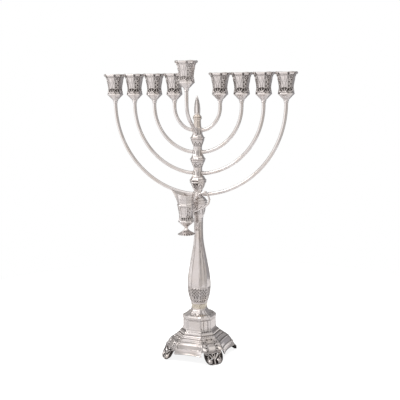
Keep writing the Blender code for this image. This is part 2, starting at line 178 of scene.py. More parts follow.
def make(name, node, shape, finish, rides="stand", at=(0, 0, 0), crease=35):
    """Makes a piece and hands it to the frame in place of its CAD node.

    shape is points in millimetres, faces and, where there is any, the oxide and painted shade at each point.
    """
    verts, faces, *oxide_and_shade = shape
    material, slot = finish
    mesh = bpy.data.meshes.new(name)
    mesh.from_pydata((np.asarray(verts, float) * MM).tolist(), [], [list(f) for f in faces])
    for values in oxide_and_shade:
        attribute = mesh.attributes.new("oxide_and_shade", "FLOAT", "POINT")
        attribute.data.foreach_set("value", np.clip(values, 0, 1).astype(np.float32))
    mesh.update()
    mesh.shade_smooth()
    mesh.set_sharp_from_angle(angle=math.radians(crease))
    mesh.materials.append(material)
    piece = bpy.data.objects.new(name, mesh)
    piece.location = ((STEM_X + at[0]) * MM, (STEM_Y + at[1]) * MM, at[2] * MM)
    bpy.context.scene.collection.objects.link(piece)
    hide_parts(node)
    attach(piece, rides)


def spline(points, steps):
    """A Catmull-Rom curve through points of any dimension, with the given steps between each two."""
    p = np.array(points, float)
    p = np.vstack([2 * p[0] - p[1], p, 2 * p[-1] - p[-2]])
    t = (np.arange(steps) / steps)[:, None]
    runs = []
    for a, b, c, d in zip(p, p[1:], p[2:], p[3:]):
        bend = 2 * b + (c - a) * t + (2 * a - 5 * b + 4 * c - d) * t**2 + (3 * b - a - 3 * c + d) * t**3
        runs.append(0.5 * bend)
    return np.vstack([*runs, p[-2][None]])


def resample(points, step, smooth):
    """A profile's points no further apart than step. Corners of a hard profile are just broken."""
    p = spline(points, 12) if smooth else np.array(points, float)
    length = np.r_[0, np.cumsum(np.hypot(*np.diff(p, axis=0).T))]
    if smooth:
        s = np.linspace(0, length[-1], int(length[-1] / step) + 2)
    else:
        runs = [np.linspace(a, b, max(2, int((b - a) / step) + 2))[:-1] for a, b in zip(length, length[1:])]
        s = np.r_[np.concatenate(runs), length[-1]]
    q = np.stack([np.interp(s, length, p[:, k]) for k in (0, 1)], 1)
    if not smooth:
        q[1:-1] = 0.25 * q[:-2] + 0.5 * q[1:-1] + 0.25 * q[2:]
    return q


def grid_faces(rows, count, closed):
    """Quads between rings of points, and a fan at each end if the rings don't close on themselves."""
    r = np.arange(rows if closed else rows - 1)[:, None]
    c = np.arange(count)[None]
    after = (c + 1) % count
    high = ((r + 1) % rows) * count
    quads = np.stack([r * count + c, r * count + after, high + after, high + c], -1).reshape(-1, 4).tolist()
    if not closed:
        last = (rows - 1) * count
        quads += [[rows * count, (i + 1) % count, i] for i in range(count)]
        quads += [[rows * count + 1, last + i, last + (i + 1) % count] for i in range(count)]
    return quads


def skin(outside, inside, counts, cant, relief, step=0.5, smooth=False, warp=None, bend=None):
    """A canted-square body from its profile, (z, half) from the bottom up outside and then down inside.

    counts is how many points lie across a main and a canted side.
    relief(kind, x, z, width) gives how far the surface stands out and its oxide and painted shade, across one
    side.
    warp(across, main, z, half, outer) may change z and half, and pull the long sides in.
    bend(x, y, z) moves the finished points.
    """
    rows = resample(outside, step, smooth)
    outer_rows = len(rows)
    closed = inside is not None
    if closed:
        rows = np.vstack([rows, inside])
    side = np.concatenate([np.full(counts[k % 2], k) for k in range(8)])
    across = np.concatenate([-1 + 2 * np.arange(n) / n for n in counts * 4])[None]
    main = (side % 2 == 0)[None]
    z = np.repeat(rows[:, :1], len(side), 1)
    half = np.repeat(rows[:, 1:], len(side), 1)
    pull = 0.0
    if warp:
        outer = (np.arange(len(rows)) < outer_rows)[:, None]
        z, half, pull = warp(across, main, z, half, outer)
    leg = cant * half
    width = np.where(main, half - leg, leg / ROOT2)
    reach = np.where(main, half - pull, (2 * half - leg) / ROOT2)
    x = across * width
    rise = np.zeros_like(x)
    oxide_and_shade = np.zeros_like(x)
    for kind in (MAIN, CANT):
        columns = np.flatnonzero(side % 2 == kind)
        part = (slice(0, outer_rows), columns[: counts[kind]])
        stands, dark = relief(kind, x[part], z[part], width[part])
        rise[:outer_rows, columns] = np.tile(stands, (1, 4))
        oxide_and_shade[:outer_rows, columns] = np.tile(dark, (1, 4))
    at_corner = across == -1
    rise[:outer_rows] -= SOFT_EDGE * at_corner
    angle = np.radians(-90 + 45 * side)[None]
    push = np.where(at_corner, angle - math.pi / 8, angle)
    rise = np.where(at_corner, rise / math.cos(math.pi / 8), rise)
    px = -x * np.sin(angle) + reach * np.cos(angle) + rise * np.cos(push)
    py = x * np.cos(angle) + reach * np.sin(angle) + rise * np.sin(push)
    if bend:
        px, py, z = bend(px, py, z)
    verts = np.stack([px, py, z], -1).reshape(-1, 3)
    oxide_and_shade = oxide_and_shade.reshape(-1)
    if not closed:
        ends = [np.stack([px, py, z], -1)[k].mean(0) for k in (0, -1)]
        verts = np.vstack([verts, ends])
        oxide_and_shade = np.r_[oxide_and_shade, 0, 0]
    return verts, grid_faces(len(rows), len(side), closed), oxide_and_shade


def rod(path, wide, thick=None, normal=None, count=18):
    """A bar along a path with round ends. It is round, or oval with its flat side facing along normal."""
    path = np.array(path, float)
    wide = np.broadcast_to(np.asarray(wide, float), len(path))
    thick = wide if thick is None else np.broadcast_to(np.asarray(thick, float), len(path))
    ahead = np.gradient(path, axis=0)
    ahead /= np.linalg.norm(ahead, axis=1)[:, None]
    up = np.array(normal if normal is not None else Vector(ahead[0]).orthogonal(), float)
    turns = 2 * math.pi * np.arange(count) / count
    rings = []
    for p, a, w, t in zip(path, ahead, wide, thick):
        up = up - a * (a @ up)
        up /= np.linalg.norm(up)
        side = np.cross(up, a)
        ring = p + w * np.cos(turns)[:, None] * side + t * np.sin(turns)[:, None] * up
        rings.append(ring)
    caps = [[], []]
    for end, sign in ((0, -1), (-1, 1)):
        r = min(wide[end], thick[end])
        for share in (0.5, 0.85):
            squeeze = math.sqrt(1 - share**2)
            centre_ring = rings[end].mean(0)
            ring = centre_ring + (rings[end] - centre_ring) * squeeze + sign * share * r * 0.6 * ahead[end]
            caps[end].append(ring)
    rings = caps[0][::-1] + rings + caps[-1]
    ends = [rings[k].mean(0) for k in (0, -1)]
    verts = np.vstack([*rings, *ends])
    return verts, grid_faces(len(rings), count, False)


def ball(centre_point, radius, squash=(1, 1, 1), rows=8, count=14):
    turns = np.linspace(0, math.pi, rows + 2)[1:-1]
    rounds = 2 * math.pi * np.arange(count) / count
    ring = np.stack([np.cos(rounds), np.sin(rounds)], 1)
    rings = [np.c_[math.sin(t) * ring, np.full(count, -math.cos(t))] for t in turns]
    verts = np.vstack([*rings, [[0, 0, -1], [0, 0, 1]]]) * radius * np.array(squash) + np.array(centre_point)
    return verts, grid_faces(rows, count, False)


def join(parts):
    verts, faces, start = [], [], 0
    for v, f in parts:
        verts.append(v)
        faces += [[i + start for i in face] for face in f]
        start += len(v)
    return np.vstack(verts), faces


def cast(parts, grain=0.4, smooth=2):
    """Melts overlapping parts into one closed body, as in a casting."""
    verts, faces = join(parts)
    mesh = bpy.data.meshes.new("casting")
    mesh.from_pydata((verts * MM).tolist(), [], faces)
    obj = bpy.data.objects.new("casting", mesh)
    bpy.context.scene.collection.objects.link(obj)
    melt = obj.modifiers.new("melt", "REMESH")
    melt.mode = "VOXEL"
    melt.voxel_size = grain * MM
    soften = obj.modifiers.new("soften", "SMOOTH")
    soften.factor = 0.5
    soften.iterations = smooth
    done = bpy.data.meshes.new_from_object(obj.evaluated_get(bpy.context.evaluated_depsgraph_get()))
    bpy.data.objects.remove(obj)
    bpy.data.meshes.remove(mesh)
    co = np.zeros(len(done.vertices) * 3)
    done.vertices.foreach_get("co", co)
    out = [list(p.vertices) for p in done.polygons]
    bpy.data.meshes.remove(done)
    return co.reshape(-1, 3) / MM, out


# Ornament ------------------------------


def ease(value, edge, soft):
    t = np.clip((value - edge) / soft + 0.5, 0, 1)
    return t * t * (3 - 2 * t)


def between(value, low, high, soft):
    return ease(value, low, soft) * (1 - ease(value, high, soft))


def dome(distance, radius):
    return np.sqrt(np.clip(1 - (distance / radius) ** 2, 0, None))


def spot(dx, dz, radius):
    """A round boss. dx and dz are the distances from its middle."""
    return dome(np.hypot(dx, dz), radius)


def line(x, z, points, radius):
    """A round ridge along a line of points."""
    nearest = np.full(x.shape, 1e9)
    for (ax, az), (bx, bz) in zip(points, points[1:]):
        dx, dz = bx - ax, bz - az
        t = np.clip(((x - ax) * dx + (z - az) * dz) / (dx * dx + dz * dz + 1e-9), 0, 1)
        nearest = np.minimum(nearest, np.hypot(x - ax - t * dx, z - az - t * dz))
    return dome(nearest, radius)


def scroll(cx, cz, radius, start, turns, hand=1, steps=26, tail=0.18):
    """Points of a spiral that winds in to its middle. start and turns are in degrees and whole turns."""
    t = np.linspace(0, 1, steps)
    r = radius * (1 - (1 - tail) * t)
    a = np.radians(start) + hand * 2 * math.pi * turns * t
    return [(cx + size * math.cos(turn), cz + size * math.sin(turn)) for size, turn in zip(r, a)]


def leaf(x, z, foot, tip, half_width, veins=3.2):
    """A pointed leaf from foot to tip, domed, with a sunk midrib and slanting veins."""
    (fx, fz), (tx, tz) = foot, tip
    length = np.hypot(tx - fx, tz - fz)
    ux, uz = (tx - fx) / length, (tz - fz) / length
    t = ((x - fx) * ux + (z - fz) * uz) / length
    off = np.abs(-(x - fx) * uz + (z - fz) * ux)
    inside = np.clip(t, 0, 1)
    edge = half_width * np.sin(math.pi * inside**0.75) ** 0.8 + 1e-6
    height = dome(off, edge) * (t > 0) * (t < 1)
    midrib = np.clip(1 - off / (0.16 * half_width + 0.1), 0, 1)
    slant = 0.5 + 0.5 * np.cos(2 * math.pi * veins * (t - 0.35 * off / half_width))
    return height * (1 - 0.45 * midrib) * (0.8 + 0.2 * slant)


def fan(x, z, cx, cz, radius, count, spread, half_width):
    """A palmette: leaves that spread from one point. spread is the whole angle in degrees."""
    height = np.zeros_like(x)
    for k in range(count):
        a = math.radians(90 - spread / 2 + spread * k / (count - 1))
        r = radius * (0.78 + 0.22 * math.sin(a))
        tip = (cx + r * math.cos(a), cz + r * math.sin(a))
        height = np.maximum(height, leaf(x, z, (cx, cz), tip, half_width))
    return height


def highest(*heights):
    result = heights[0]
    for h in heights[1:]:
        result = np.maximum(result, h)
    return result


def shares(x, width, count):
    """For a panel in count equal shares: the distance from the middle of the share at x, and its width."""
    share = 2 * width / count
    return (x + width) % share - share / 2, share


def staggered(x, z, width, start, pitch, radius, faint, apart):
    """Spots up a panel, by turns on its two sides, with a smaller and fainter one across from each."""
    step = (z - start) % pitch - pitch / 2
    side = np.where(np.floor((z - start) / pitch) % 2 == 0, 0.42, -0.42) * width
    return highest(spot(x - side, step, radius), faint * spot(x + apart * side, step, 0.9))


def chase(zone, height, depth, lift=0.25):
    """Ornament standing in a sunk ground: how far the surface stands out, and the oxide in its hollows."""
    rise = zone * (height * (depth + lift) - depth)
    return rise, zone * (1 - ease(height, 0.42, 0.5))


def pierce(zone, pits, ridges, depth=0.5, lift=0.3):
    """Light ornament with small dark hollows between its forms."""
    return zone * (lift * ridges - depth * pits), zone * ease(pits, 0.35, 0.5)


def framed_panel(x, z, width, low, high, margin, depth, bead=0.22):
    """A plain sunk panel with a thin raised moulding round it."""
    inset = np.minimum.reduce([width - np.abs(x) - margin, z - low, high - z])
    rise = -depth * ease(inset, 0.25, 0.5) + bead * dome(inset + 0.25, 0.5)
    return rise, 0.85 * dome(inset - 0.42, 0.36)


# Cups ------------------------------

CUP_PROFILE = (
    (-48.6, 3.9), (-47.4, 4.4), (-46.8, 3.9), (-46.0, 4.3), (-43.5, 6.8), (-40.0, 9.7), (-37.6, 11.9),
    (-37.0, 12.7), (-36.0, 13.0), (-35.2, 12.6), (-33.8, 12.3), (-30.0, 11.6), (-26.0, 11.3),
    (-20.0, 11.9), (-13.0, 13.2), (-6.5, 14.7), (-4.8, 15.3), (-4.4, 16.2), (-3.7, 17.5), (-2.6, 18.3),
    (-1.3, 18.3), (-0.4, 17.7), (0.0, 16.9),
)
CUP_INSIDE = (
    (-0.1, 16.2), (-0.9, 15.4), (-3.6, 14.3), (-8.0, 13.1), (-14.0, 11.9), (-21.0, 10.8), (-28.0, 10.2),
    (-30.0, 10.0), (-30.5, 9.4), (-30.5, 0.5), (-40.0, 0.5), (-41.0, 2.3), (-48.6, 2.3),
)


def cup_relief(kind, x, z, width):
    """Main panels carry faint strapwork, canted ones a dark spotted column, and both a palmette below."""
    a = np.abs(x)
    wall = between(z, -28.0, -5.0, 0.6)
    border = dome(width - a - 0.9, 1.0) * wall
    if kind == MAIN:
        bends = [(width * 0.95, -7.0), (width * 0.72, -13.0), (width * 0.42, -18.0), (width * 0.25, -24.0)]
        strap = line(a, z, bends, 0.8)
        tongue = np.hypot(x / (0.26 * width), (z + 11.2) / 4.2)
        drop = leaf(x, z, (0, -29.5), (0, -20.5), 1.5, 2.5)
        rise = wall * (0.4 * dome(tongue, 1) + 0.4 * drop - 0.25 * strap)
        oxide_and_shade = wall * highest(0.55 * strap, 0.25 * dome(tongue - 1.2, 0.25))
    else:
        column = ease(0.85 * width - a, 0.0, 0.5)
        spots = staggered(x, z, width, -28.4, 3.4, 1.75, 0.6, 1.2)
        ring = np.hypot(x, z + 8.8)
        in_ring = 1 - ease(ring, 3.6, 0.4)
        ringed = highest(dome(ring - 2.7, 0.8), dome(ring, 1.3))
        beside_ring = spot(a - width, z + 9.4, 2.2)
        outside = 1 - in_ring
        pits = highest(spots * outside, in_ring * (1 - ringed) * (ring < 3.2), beside_ring * outside)
        rise, oxide_and_shade = pierce(wall, pits, ringed * in_ring + 0.5 * outside * (1 - spots), 0.7, 0.35)
        oxide_and_shade = highest(0.85 * oxide_and_shade, 0.12 * wall * column * outside)
    rise -= 0.3 * border
    oxide_and_shade = highest(oxide_and_shade, (0.5 if kind == CANT else 0.4) * border)
    reach, count, spread = (10.6, 5, 140) if kind == MAIN else (9.2, 3, 84)
    petals = fan(x, z, 0, -35.0, reach, count, spread, 1.05)
    band = between(z, -34.0, -23.6, 0.4) * (1 - ease(np.hypot(x, z + 35.0), reach - 0.9, 0.8))
    gaps = 1 - ease(petals, 0.32, 0.4)
    rise = rise * (1 - band) + band * (0.5 * petals - 0.7 * gaps)
    oxide_and_shade = highest(oxide_and_shade * (1 - band), band * gaps, 0.6 * dome(z + 34.4, 0.6))
    facet = between(z, -45.8, -37.8, 0.6)
    frame_line = dome(width - a - 0.8, 0.7) * facet
    rise -= 0.2 * frame_line
    speckle = facet * ease(np.sin(2.1 * x + 0.9 * z) * np.sin(1.7 * z - 0.8 * x), 0.45, 0.5)
    # A dark line down the middle of each canted facet below the cup, with no groove under it: painted shade
    # of a crease.
    crease_shade = (0.35 if kind == CANT else 0.0) * dome(x, 0.6) * facet
    oxide_and_shade = highest(oxide_and_shade, 0.3 * frame_line, 0.2 * speckle, crease_shade)
    rim = ease(z, -4.8, 0.4)
    # Each corner of the rim is notched, and the notch is darkened in full as painted shade.
    shaded_notch = highest(dome(width - a, 0.8) * rim, spot(width - a, z + 3.0, 2.5))
    rise = rise - 0.9 * shaded_notch
    if kind == CANT:
        rise = rise + 0.5 * rim * (1 - (x / width) ** 2)
    # The band just under the rim's overhanging lip is darkened as painted shade, more on the canted sides.
    under = between(z, -6.4, -4.9, 0.4)
    return rise, highest(oxide_and_shade, shaded_notch, (0.7 if kind == CANT else 0.35) * under)


def rim_lobes(across, main, z, half, outer):
    """The rim stands a little higher over the canted corners."""
    lift = ease(z, -3.5, 4) * np.where(main, 0.0, 0.7 * (1 - across**2))
    return z + lift, half, 0.0


def make_cups():
    """Nine cups from one skin. The helper's cup gets less of the dark than the others."""
    shape = skin(CUP_PROFILE, CUP_INSIDE, (36, 30), CUP_CANT, cup_relief, step=0.4, warp=rim_lobes)
    verts, faces, oxide_and_shade = shape
    names = [f"cup_{side}_{n}" for n in range(1, BRANCHES + 1) for side in SIDES] + ["cup_shamash"]
    for name in names:
        dark = oxide_and_shade * (0.7 if name == "cup_shamash" else 1.0)
        make(name + "_chased", name, (verts, faces, dark), CUPS, rides=name, at=(*centre(name), top(name)))


# Stem ------------------------------


HUB_DOWN, HUB_UP = 6.0, 5.7  # from the arms' level to a hub's two ends
HUB_WAIST = 7.9
HUB_FLARES = (8.7, 9.9, 10.7, 11.7)
KNOP_HALVES = (12.3, 13.1, 14.1, 15.5)
KNOP_NECKS = (6.9, 6.9, 6.9, 7.6)
LOWER_RIDGE_IN = (1.0, 0.9, 0.2, 0.2)  # how much narrower the lower ridge is
SLIM_TAPER = ((0.28, 0.03), (0.42, 0.15), (0.62, 0.35), (0.84, 0.57), (0.93, 0.68))  # height and width shares
FULL_TAPER = ((0.20, 0.10), (0.42, 0.38), (0.62, 0.53), (0.84, 0.71), (0.93, 0.80))
RIDGE_DROP, RIDGE_GAP = 5.3, 3.6  # from a knop's top to its upper ridge, and on to its lower one


def hub_z(n):
    """The level at which a hub's arms leave it."""
    return bottom(f"hub_{n}") + HUB_DOWN


def make_knop(n):
    """A bud that carries on the hub's flare to two ridges, then tapers down to a chased neck."""
    name = f"knop_{n}"
    low, high = span(name)
    wide, flare, neck = KNOP_HALVES[n - 1], HUB_FLARES[n - 1], KNOP_NECKS[n - 1]
    upper = high - RIDGE_DROP
    lower = upper - RIDGE_GAP
    taper = lower - low
    full = wide - neck
    ridge = wide - LOWER_RIDGE_IN[n - 1]
    outside = [(low, neck), (low + 0.06 * taper, neck + 0.35), (low + 0.10 * taper, neck + 0.05)]
    for share, fill in SLIM_TAPER if n <= 2 else FULL_TAPER:
        outside.append((low + share * taper, neck + fill * full))
    outside += [
        (lower - 0.5, ridge - 0.7), (lower + 0.1, ridge), (lower + 0.8, ridge - 0.3),
        (lower + 1.3, ridge - 0.9), (lower + 2.0, ridge - 0.7), (upper - 0.6, wide - 0.4),
        (upper + 0.3, wide), (upper + 0.9, wide - 0.5), (upper + 1.5, wide - 1.4),
        (high - 1.8, 0.62 * flare + 0.38 * wide - 0.4), (high - 0.5, flare + 0.2), (high, flare),
    ]

    def relief(kind, x, z, width):
        a = np.abs(x)
        foot, tip = low + 0.27 * taper, lower - 2.0
        tall = tip - foot
        zone = between(z, foot, tip, 0.4) * ease(width - a, 0.5, 0.4)

        def bow(points, radius):
            return line(a, z, [(across * width, foot + up * tall) for across, up in points], radius)

        arch = bow(((0.84, 0.1), (0.66, 0.52), (0.0, 0.86)), 0.75)
        inner = bow(((0.5, 0.0), (0.36, 0.36), (0.0, 0.56)), 0.5)
        eye = spot(x, (z - foot - 0.2 * tall) / 1.3, 1.0)
        side = spot(a - 0.86 * width, (z - foot - 0.72 * tall) / 1.4, 0.8)
        if kind == MAIN:
            pits = highest(arch, 0.5 * inner, 0.5 * eye)
        else:
            pits = highest(0.8 * arch, 0.6 * eye, 0.5 * side)
        ribs = 0.5 + 0.5 * np.cos(2 * math.pi * (a / width * 2.5))
        rise, oxide_and_shade = pierce(zone, pits, ribs, 0.45, 0.15)
        valley = between(z, lower + 1.1, upper - 1.0, 0.4)
        # The band under the lower ridge is darkened as painted shade.
        under = between(z, lower - 1.9, lower - 0.9, 0.3)
        dots = dome((x + 0.9) % 1.8 - 0.9, 0.7) * between(z, upper + 1.4, high - 1.9, 0.5)
        return rise - 0.2 * dots, highest(0.7 * oxide_and_shade, 0.3 * valley, 0.35 * under, 0.3 * dots)

    inside = (
        (high, BORE), (high - 1.5, BORE), (upper - 1, wide - 3), (low + 1.5, neck - 1.5),
        (low + 1.5, BORE), (low, BORE),
    )
    make(name + "_chased", name, skin(outside, inside, (24, 20), STEM_CANT, relief, step=0.4), CHASED)


def make_hub(n):
    """The short ribbed block that the arms enter. It flares out below into its knop."""
    name = f"hub_{n}"
    z = hub_z(n)
    flare = HUB_FLARES[n - 1]
    outside = (
        (z - HUB_DOWN, flare), (z - 4.8, HUB_WAIST + 0.58 * (flare - HUB_WAIST)),
        (z - 3.6, HUB_WAIST + 0.25 * (flare - HUB_WAIST)), (z - 2.4, HUB_WAIST), (z + 1.8, 7.8),
        (z + 3.6, 7.3), (z + 4.6, 7.0), (z + 5.2, 7.2), (z + HUB_UP, 6.9),
    )

    def relief(kind, x, z_, width):
        a = np.abs(x)
        waist = between(z_, z - 5.0, z + 3.4, 0.5)
        groove = dome(width - a - 0.7, 0.7) * waist
        rib = dome(a, 0.45 * width) * waist
        side = dome(a - 0.55 * width, 0.5) * waist * (kind == CANT)
        step = highest(dome(z_ - z + 5.2, 0.4), dome(z_ - z - 4.3, 0.4))
        return 0.45 * rib - 0.3 * groove - 0.2 * side, highest(0.55 * groove, 0.45 * side, 0.5 * step)

    inside = ((z + HUB_UP, BORE), (z - HUB_DOWN, BORE))
    make(name + "_faceted", name, skin(outside, inside, (20, 18), STEM_CANT, relief, step=0.45), PLAIN)


BALUSTER_PROFILE = (
    (0.0, 13.5), (1.0, 14.0), (2.4, 13.7), (5.0, 14.6), (9.0, 15.8), (16.0, 17.5), (23.0, 18.7),
    (29.0, 19.0), (36.0, 19.0), (46.0, 18.4), (57.0, 17.2), (71.0, 15.0), (85.0, 12.4), (99.0, 10.1),
    (111.0, 8.3), (121.0, 7.5), (135.0, 7.2), (149.0, 7.4), (152.4, 7.6),
)


def make_baluster():
    """The vase-shaped stem: long sunk panels above, and a band of close chased leaves below."""
    low, high = span("baluster")
    outside = [(low + z, half) for z, half in BALUSTER_PROFILE]
    leaf_low, leaf_high = low + 3.4, low + 30.2
    panel_low, panel_high = low + 30.0, high - 3.0

    def relief(kind, x, z, width):
        a = np.abs(x)
        inset = np.minimum.reduce([width - a - 0.9, z - panel_low, panel_high - z])
        rise = -0.4 * ease(inset, 0.25, 0.6) + 0.2 * dome(inset + 0.35, 0.5)
        oxide_and_shade = 0.6 * dome(inset - 0.35, 0.35)
        second = dome(inset - 1.7, 0.4) if kind == CANT else 0.5 * dome(inset - 1.5, 0.3)
        rise = rise + 0.22 * second
        oxide_and_shade = highest(oxide_and_shade, 0.35 * dome(inset - 2.2, 0.3) * (kind == CANT))
        if kind == CANT:
            reeds = between(z, panel_low + 3.0, panel_high - 3.0, 2.0)
            rise = rise + 0.45 * reeds * dome(a - 0.30 * width, 0.16 * width)
            oxide_and_shade = highest(oxide_and_shade, 0.4 * reeds * dome(a - 0.52 * width, 0.5))
        tips = leaf_high - 2.6 * np.abs(((x + width) / (2 * width) * 3) % 1 - 0.5) * 2
        zone = ease(z, leaf_low, 0.5) * (1 - ease(z, tips, 0.6)) * ease(width - a, 0.5, 0.4)
        pitch = 2 * width / 3
        up = (z - leaf_low) / (leaf_high - leaf_low)
        off = (x + width + 0.5 * pitch * (kind == CANT)) % pitch - pitch / 2
        stem = dome(off, 0.34 * pitch * (1.25 - 0.75 * up))
        spots = spot((np.abs(off) - 0.5 * pitch) / 0.8, (z - leaf_low) % 5.2 - 2.6, 1.7)
        notches = spot(np.abs(off) / 0.8, (z - leaf_low + 2.6) % 5.2 - 2.6, 1.05)
        dash = dome((1.3 * np.abs(off) + 0.55 * (z - leaf_low)) % 3.4 - 1.7, 0.95)
        pits = np.where(up < 0.34, np.maximum(spots, 0.8 * notches), 0.9 * dash)
        d, dark = pierce(zone, pits, stem, 0.5, 0.5)
        edge_line = dome(z - tips - 0.5, 0.5)
        fringe = dome(z - low - 2.9, 0.3)
        return rise + d + 0.2 * edge_line, highest(oxide_and_shade, 0.85 * dark, 0.5 * fringe, 0.16 * zone)

    inside = (
        (high, BORE), (high - 1.5, BORE), (high - 30, 5.6), (low + 36, 16), (low + 1.5, 12),
        (low + 1.5, BORE), (low, BORE),
    )
    shape = skin(outside, inside, (36, 30), STEM_CANT, relief, smooth=True)
    make("baluster_panelled", "baluster", shape, CHASED)


def make_finial():
    """The faceted neck, its ridged collar and the fluted spear."""
    low, high = span("finial_neck")
    outside = (
        (low, 6.6), (low + 0.7, 6.9), (low + 1.4, 6.5), (low + 5.0, 6.0), (low + 11.0, 5.8),
        (high - 2.0, 5.8), (high - 1.2, 6.4), (high, 6.3),
    )

    def groove(kind, x, z, width):
        cut = dome(width - np.abs(x) - 0.8, 0.35) * between(z, low + 2.2, high - 2.4, 0.4)
        return -0.2 * cut, 0.5 * cut

    shape = skin(outside, ((high, BORE), (low, BORE)), (18, 16), STEM_CANT, groove, step=0.45)
    make("finial_neck_faceted", "finial_neck", shape, WARM)
    low, high = span("finial_collar")
    ridges = (
        (low, 6.5), (low + 0.6, 7.2), (low + 1.4, 7.7), (low + 2.2, 7.3), (low + 2.7, 6.5),
        (low + 3.3, 6.9), (low + 4.1, 7.4), (low + 4.9, 6.8), (low + 5.5, 5.8), (high, 5.3),
    )

    def valley(kind, x, z, width):
        return 0 * x, 0.8 * between(z, low + 2.4, low + 3.1, 0.3)

    shape = skin(ridges, ((high, BORE), (low, BORE)), (16, 14), STEM_CANT, valley, step=0.35)
    make("finial_collar_ridged", "finial_collar", shape, WARM)
    low, high = span("finial_spear")
    outside = (
        (low, 4.3), (low + 0.8, 5.0), (low + 1.6, 4.5), (low + 4.7, 5.0), (low + 10.7, 5.1),
        (low + 17.7, 4.5), (low + 24.7, 3.3), (low + 30.2, 1.8), (high - 0.6, 0.7), (high, 0.3),
    )

    def flute(kind, x, z, width):
        zone = between(z, low + 3.0, high - 6.0, 3.0)
        deep = zone * (1 - (x / width) ** 2)
        if kind == MAIN:
            return -0.45 * deep, 0 * x
        return -0.45 * deep * 0.75, 0.85 * zone * dome(x, 0.85)

    shape = skin(outside, None, (14, 12), STEM_CANT, flute, step=0.45)
    make("finial_spear_fluted", "finial_spear", shape, PLAIN)


# Arms ------------------------------


# Heights over a cup's underside, and radii, of the collar that ends a tube there and of the stud above it.
COLLAR = ((-3.6, TUBE_R), (-3.3, 3.5), (-2.9, 3.1), (-2.5, 3.2), (-2.1, 3.8), (-1.3, 4.1), (-0.6, 3.8),
          (-GAP, 3.2), (-GAP + 0.05, 1.9), (5.5, 1.9))
BELOW_COLLAR = 3.8  # where the tube's last points stop under the cup
SHAMASH_BEND = 38.0  # radius of the bend in the helper light's arm
SHAMASH_BEND_Z, SHAMASH_BEND_TOP = 454.6, 457  # the level where it ends, and the next point up


def arm_mesh(path, cup_bottom):
    """The tube along a path, which ends straight up at its collar and stud."""
    path = np.array(path, float)
    x, y = path[-1][:2]
    ends = np.array([(x, y, cup_bottom + rise) for rise, _ in COLLAR])
    keep = path[path[:, 2] < ends[0][2] - 0.5]
    radii = np.r_[np.full(len(keep), TUBE_R), [r for _, r in COLLAR]]
    return rod(np.vstack([keep, ends]), radii, count=28)


def ring_at(point, along, radius, thick):
    """A small moulded ring round a tube where it enters its hub."""
    point, along = np.array(point, float), np.array(along, float)
    offsets = np.array((-1.2, -0.9, -0.3, 0.3, 0.9, 1.2)) * thick
    radii = np.array((0.0, 0.55, 1.0, 1.0, 0.55, 0.0)) * 0.9 + radius
    return rod([point + along * o for o in offsets], radii, count=28)


def make_arms():
    """The eight quarter-circle arms. Each is lifted a little where it leaves its hub."""
    for n in range(1, BRANCHES + 1):
        for side, sign in zip(SIDES, (-1, 1)):
            name, cup = f"arm_{side}_{n}", f"cup_{side}_{n}"
            reach = abs(centre(cup)[0])
            z0 = hub_z(n)
            climb = math.asin(HUB_WAIST / reach)
            turns = np.linspace(climb - 2.6 / reach, math.pi / 2, 40 + 14 * n)
            level = 1.9 if n == 1 else 0.7
            path = []
            for t in turns:
                out = reach * math.sin(t)
                lift = level * max(0.0, 1 - (out - HUB_WAIST) / 15) ** 2
                path.append((sign * out, 0, z0 + reach * (1 - math.cos(t)) + min(lift, level)))
            rise = np.arange(path[-1][2] + 2, bottom(cup) - BELOW_COLLAR, 3)
            path += [(sign * reach, 0, z) for z in rise]
            t = climb + 1.3 / reach
            at = (sign * reach * math.sin(t), 0, z0 + reach * (1 - math.cos(t)) + 0.9 * level)
            ring = ring_at(at, (sign * math.cos(t), 0, math.sin(t)), TUBE_R, 0.8)
            make(name + "_tube", name, join([arm_mesh(path, bottom(cup)), ring]), PLAIN)


def make_shamash_arm():
    """The helper light's arm. Its foot is a long pointed tongue on the front of the stem."""
    x, y = centre("cup_shamash")
    cup_bottom = bottom("cup_shamash")
    turn = math.radians(50)
    middle = np.array((x, y, SHAMASH_BEND_Z)) + (0, SHAMASH_BEND, 0)
    turns = np.linspace(turn, 0, 30)
    arc = [middle + SHAMASH_BEND * np.array((0, -math.cos(t), -math.sin(t))) for t in turns]
    inward = np.array((0, math.sin(turn), -math.cos(turn)))
    face = arc[0] + inward * ((-HUB_WAIST - arc[0][1]) / inward[1])
    run = [face + inward * (1.6 - k) for k in range(int(np.linalg.norm(arc[0] - face) + 1.6))]
    path = run + arc + [(x, y, z) for z in np.arange(SHAMASH_BEND_TOP, cup_bottom - BELOW_COLLAR, 3)]
    # y, z, half width and half thickness down the tongue
    tongue = [(-8.1, 413.5, 2.4, 1.0), (-8.7, 410, 3.4, 1.5), (-9.2, 406, 3.9, 1.7), (-9.3, 402.5, 3.4, 1.4),
              (-9.6, 400, 2.0, 0.9), (-10.2, 398.4, 0.4, 0.3)]
    y_down, z_down, wide, thick = spline(tongue, 6).T
    down = np.stack([0 * y_down, y_down, z_down], 1)
    plate = rod(down, wide, thick, normal=(0, -1, 0), count=28)
    make("shamash_arm_tube", "shamash_arm", join([arm_mesh(path, cup_bottom), plate]), PLAIN)


# Base ------------------------------


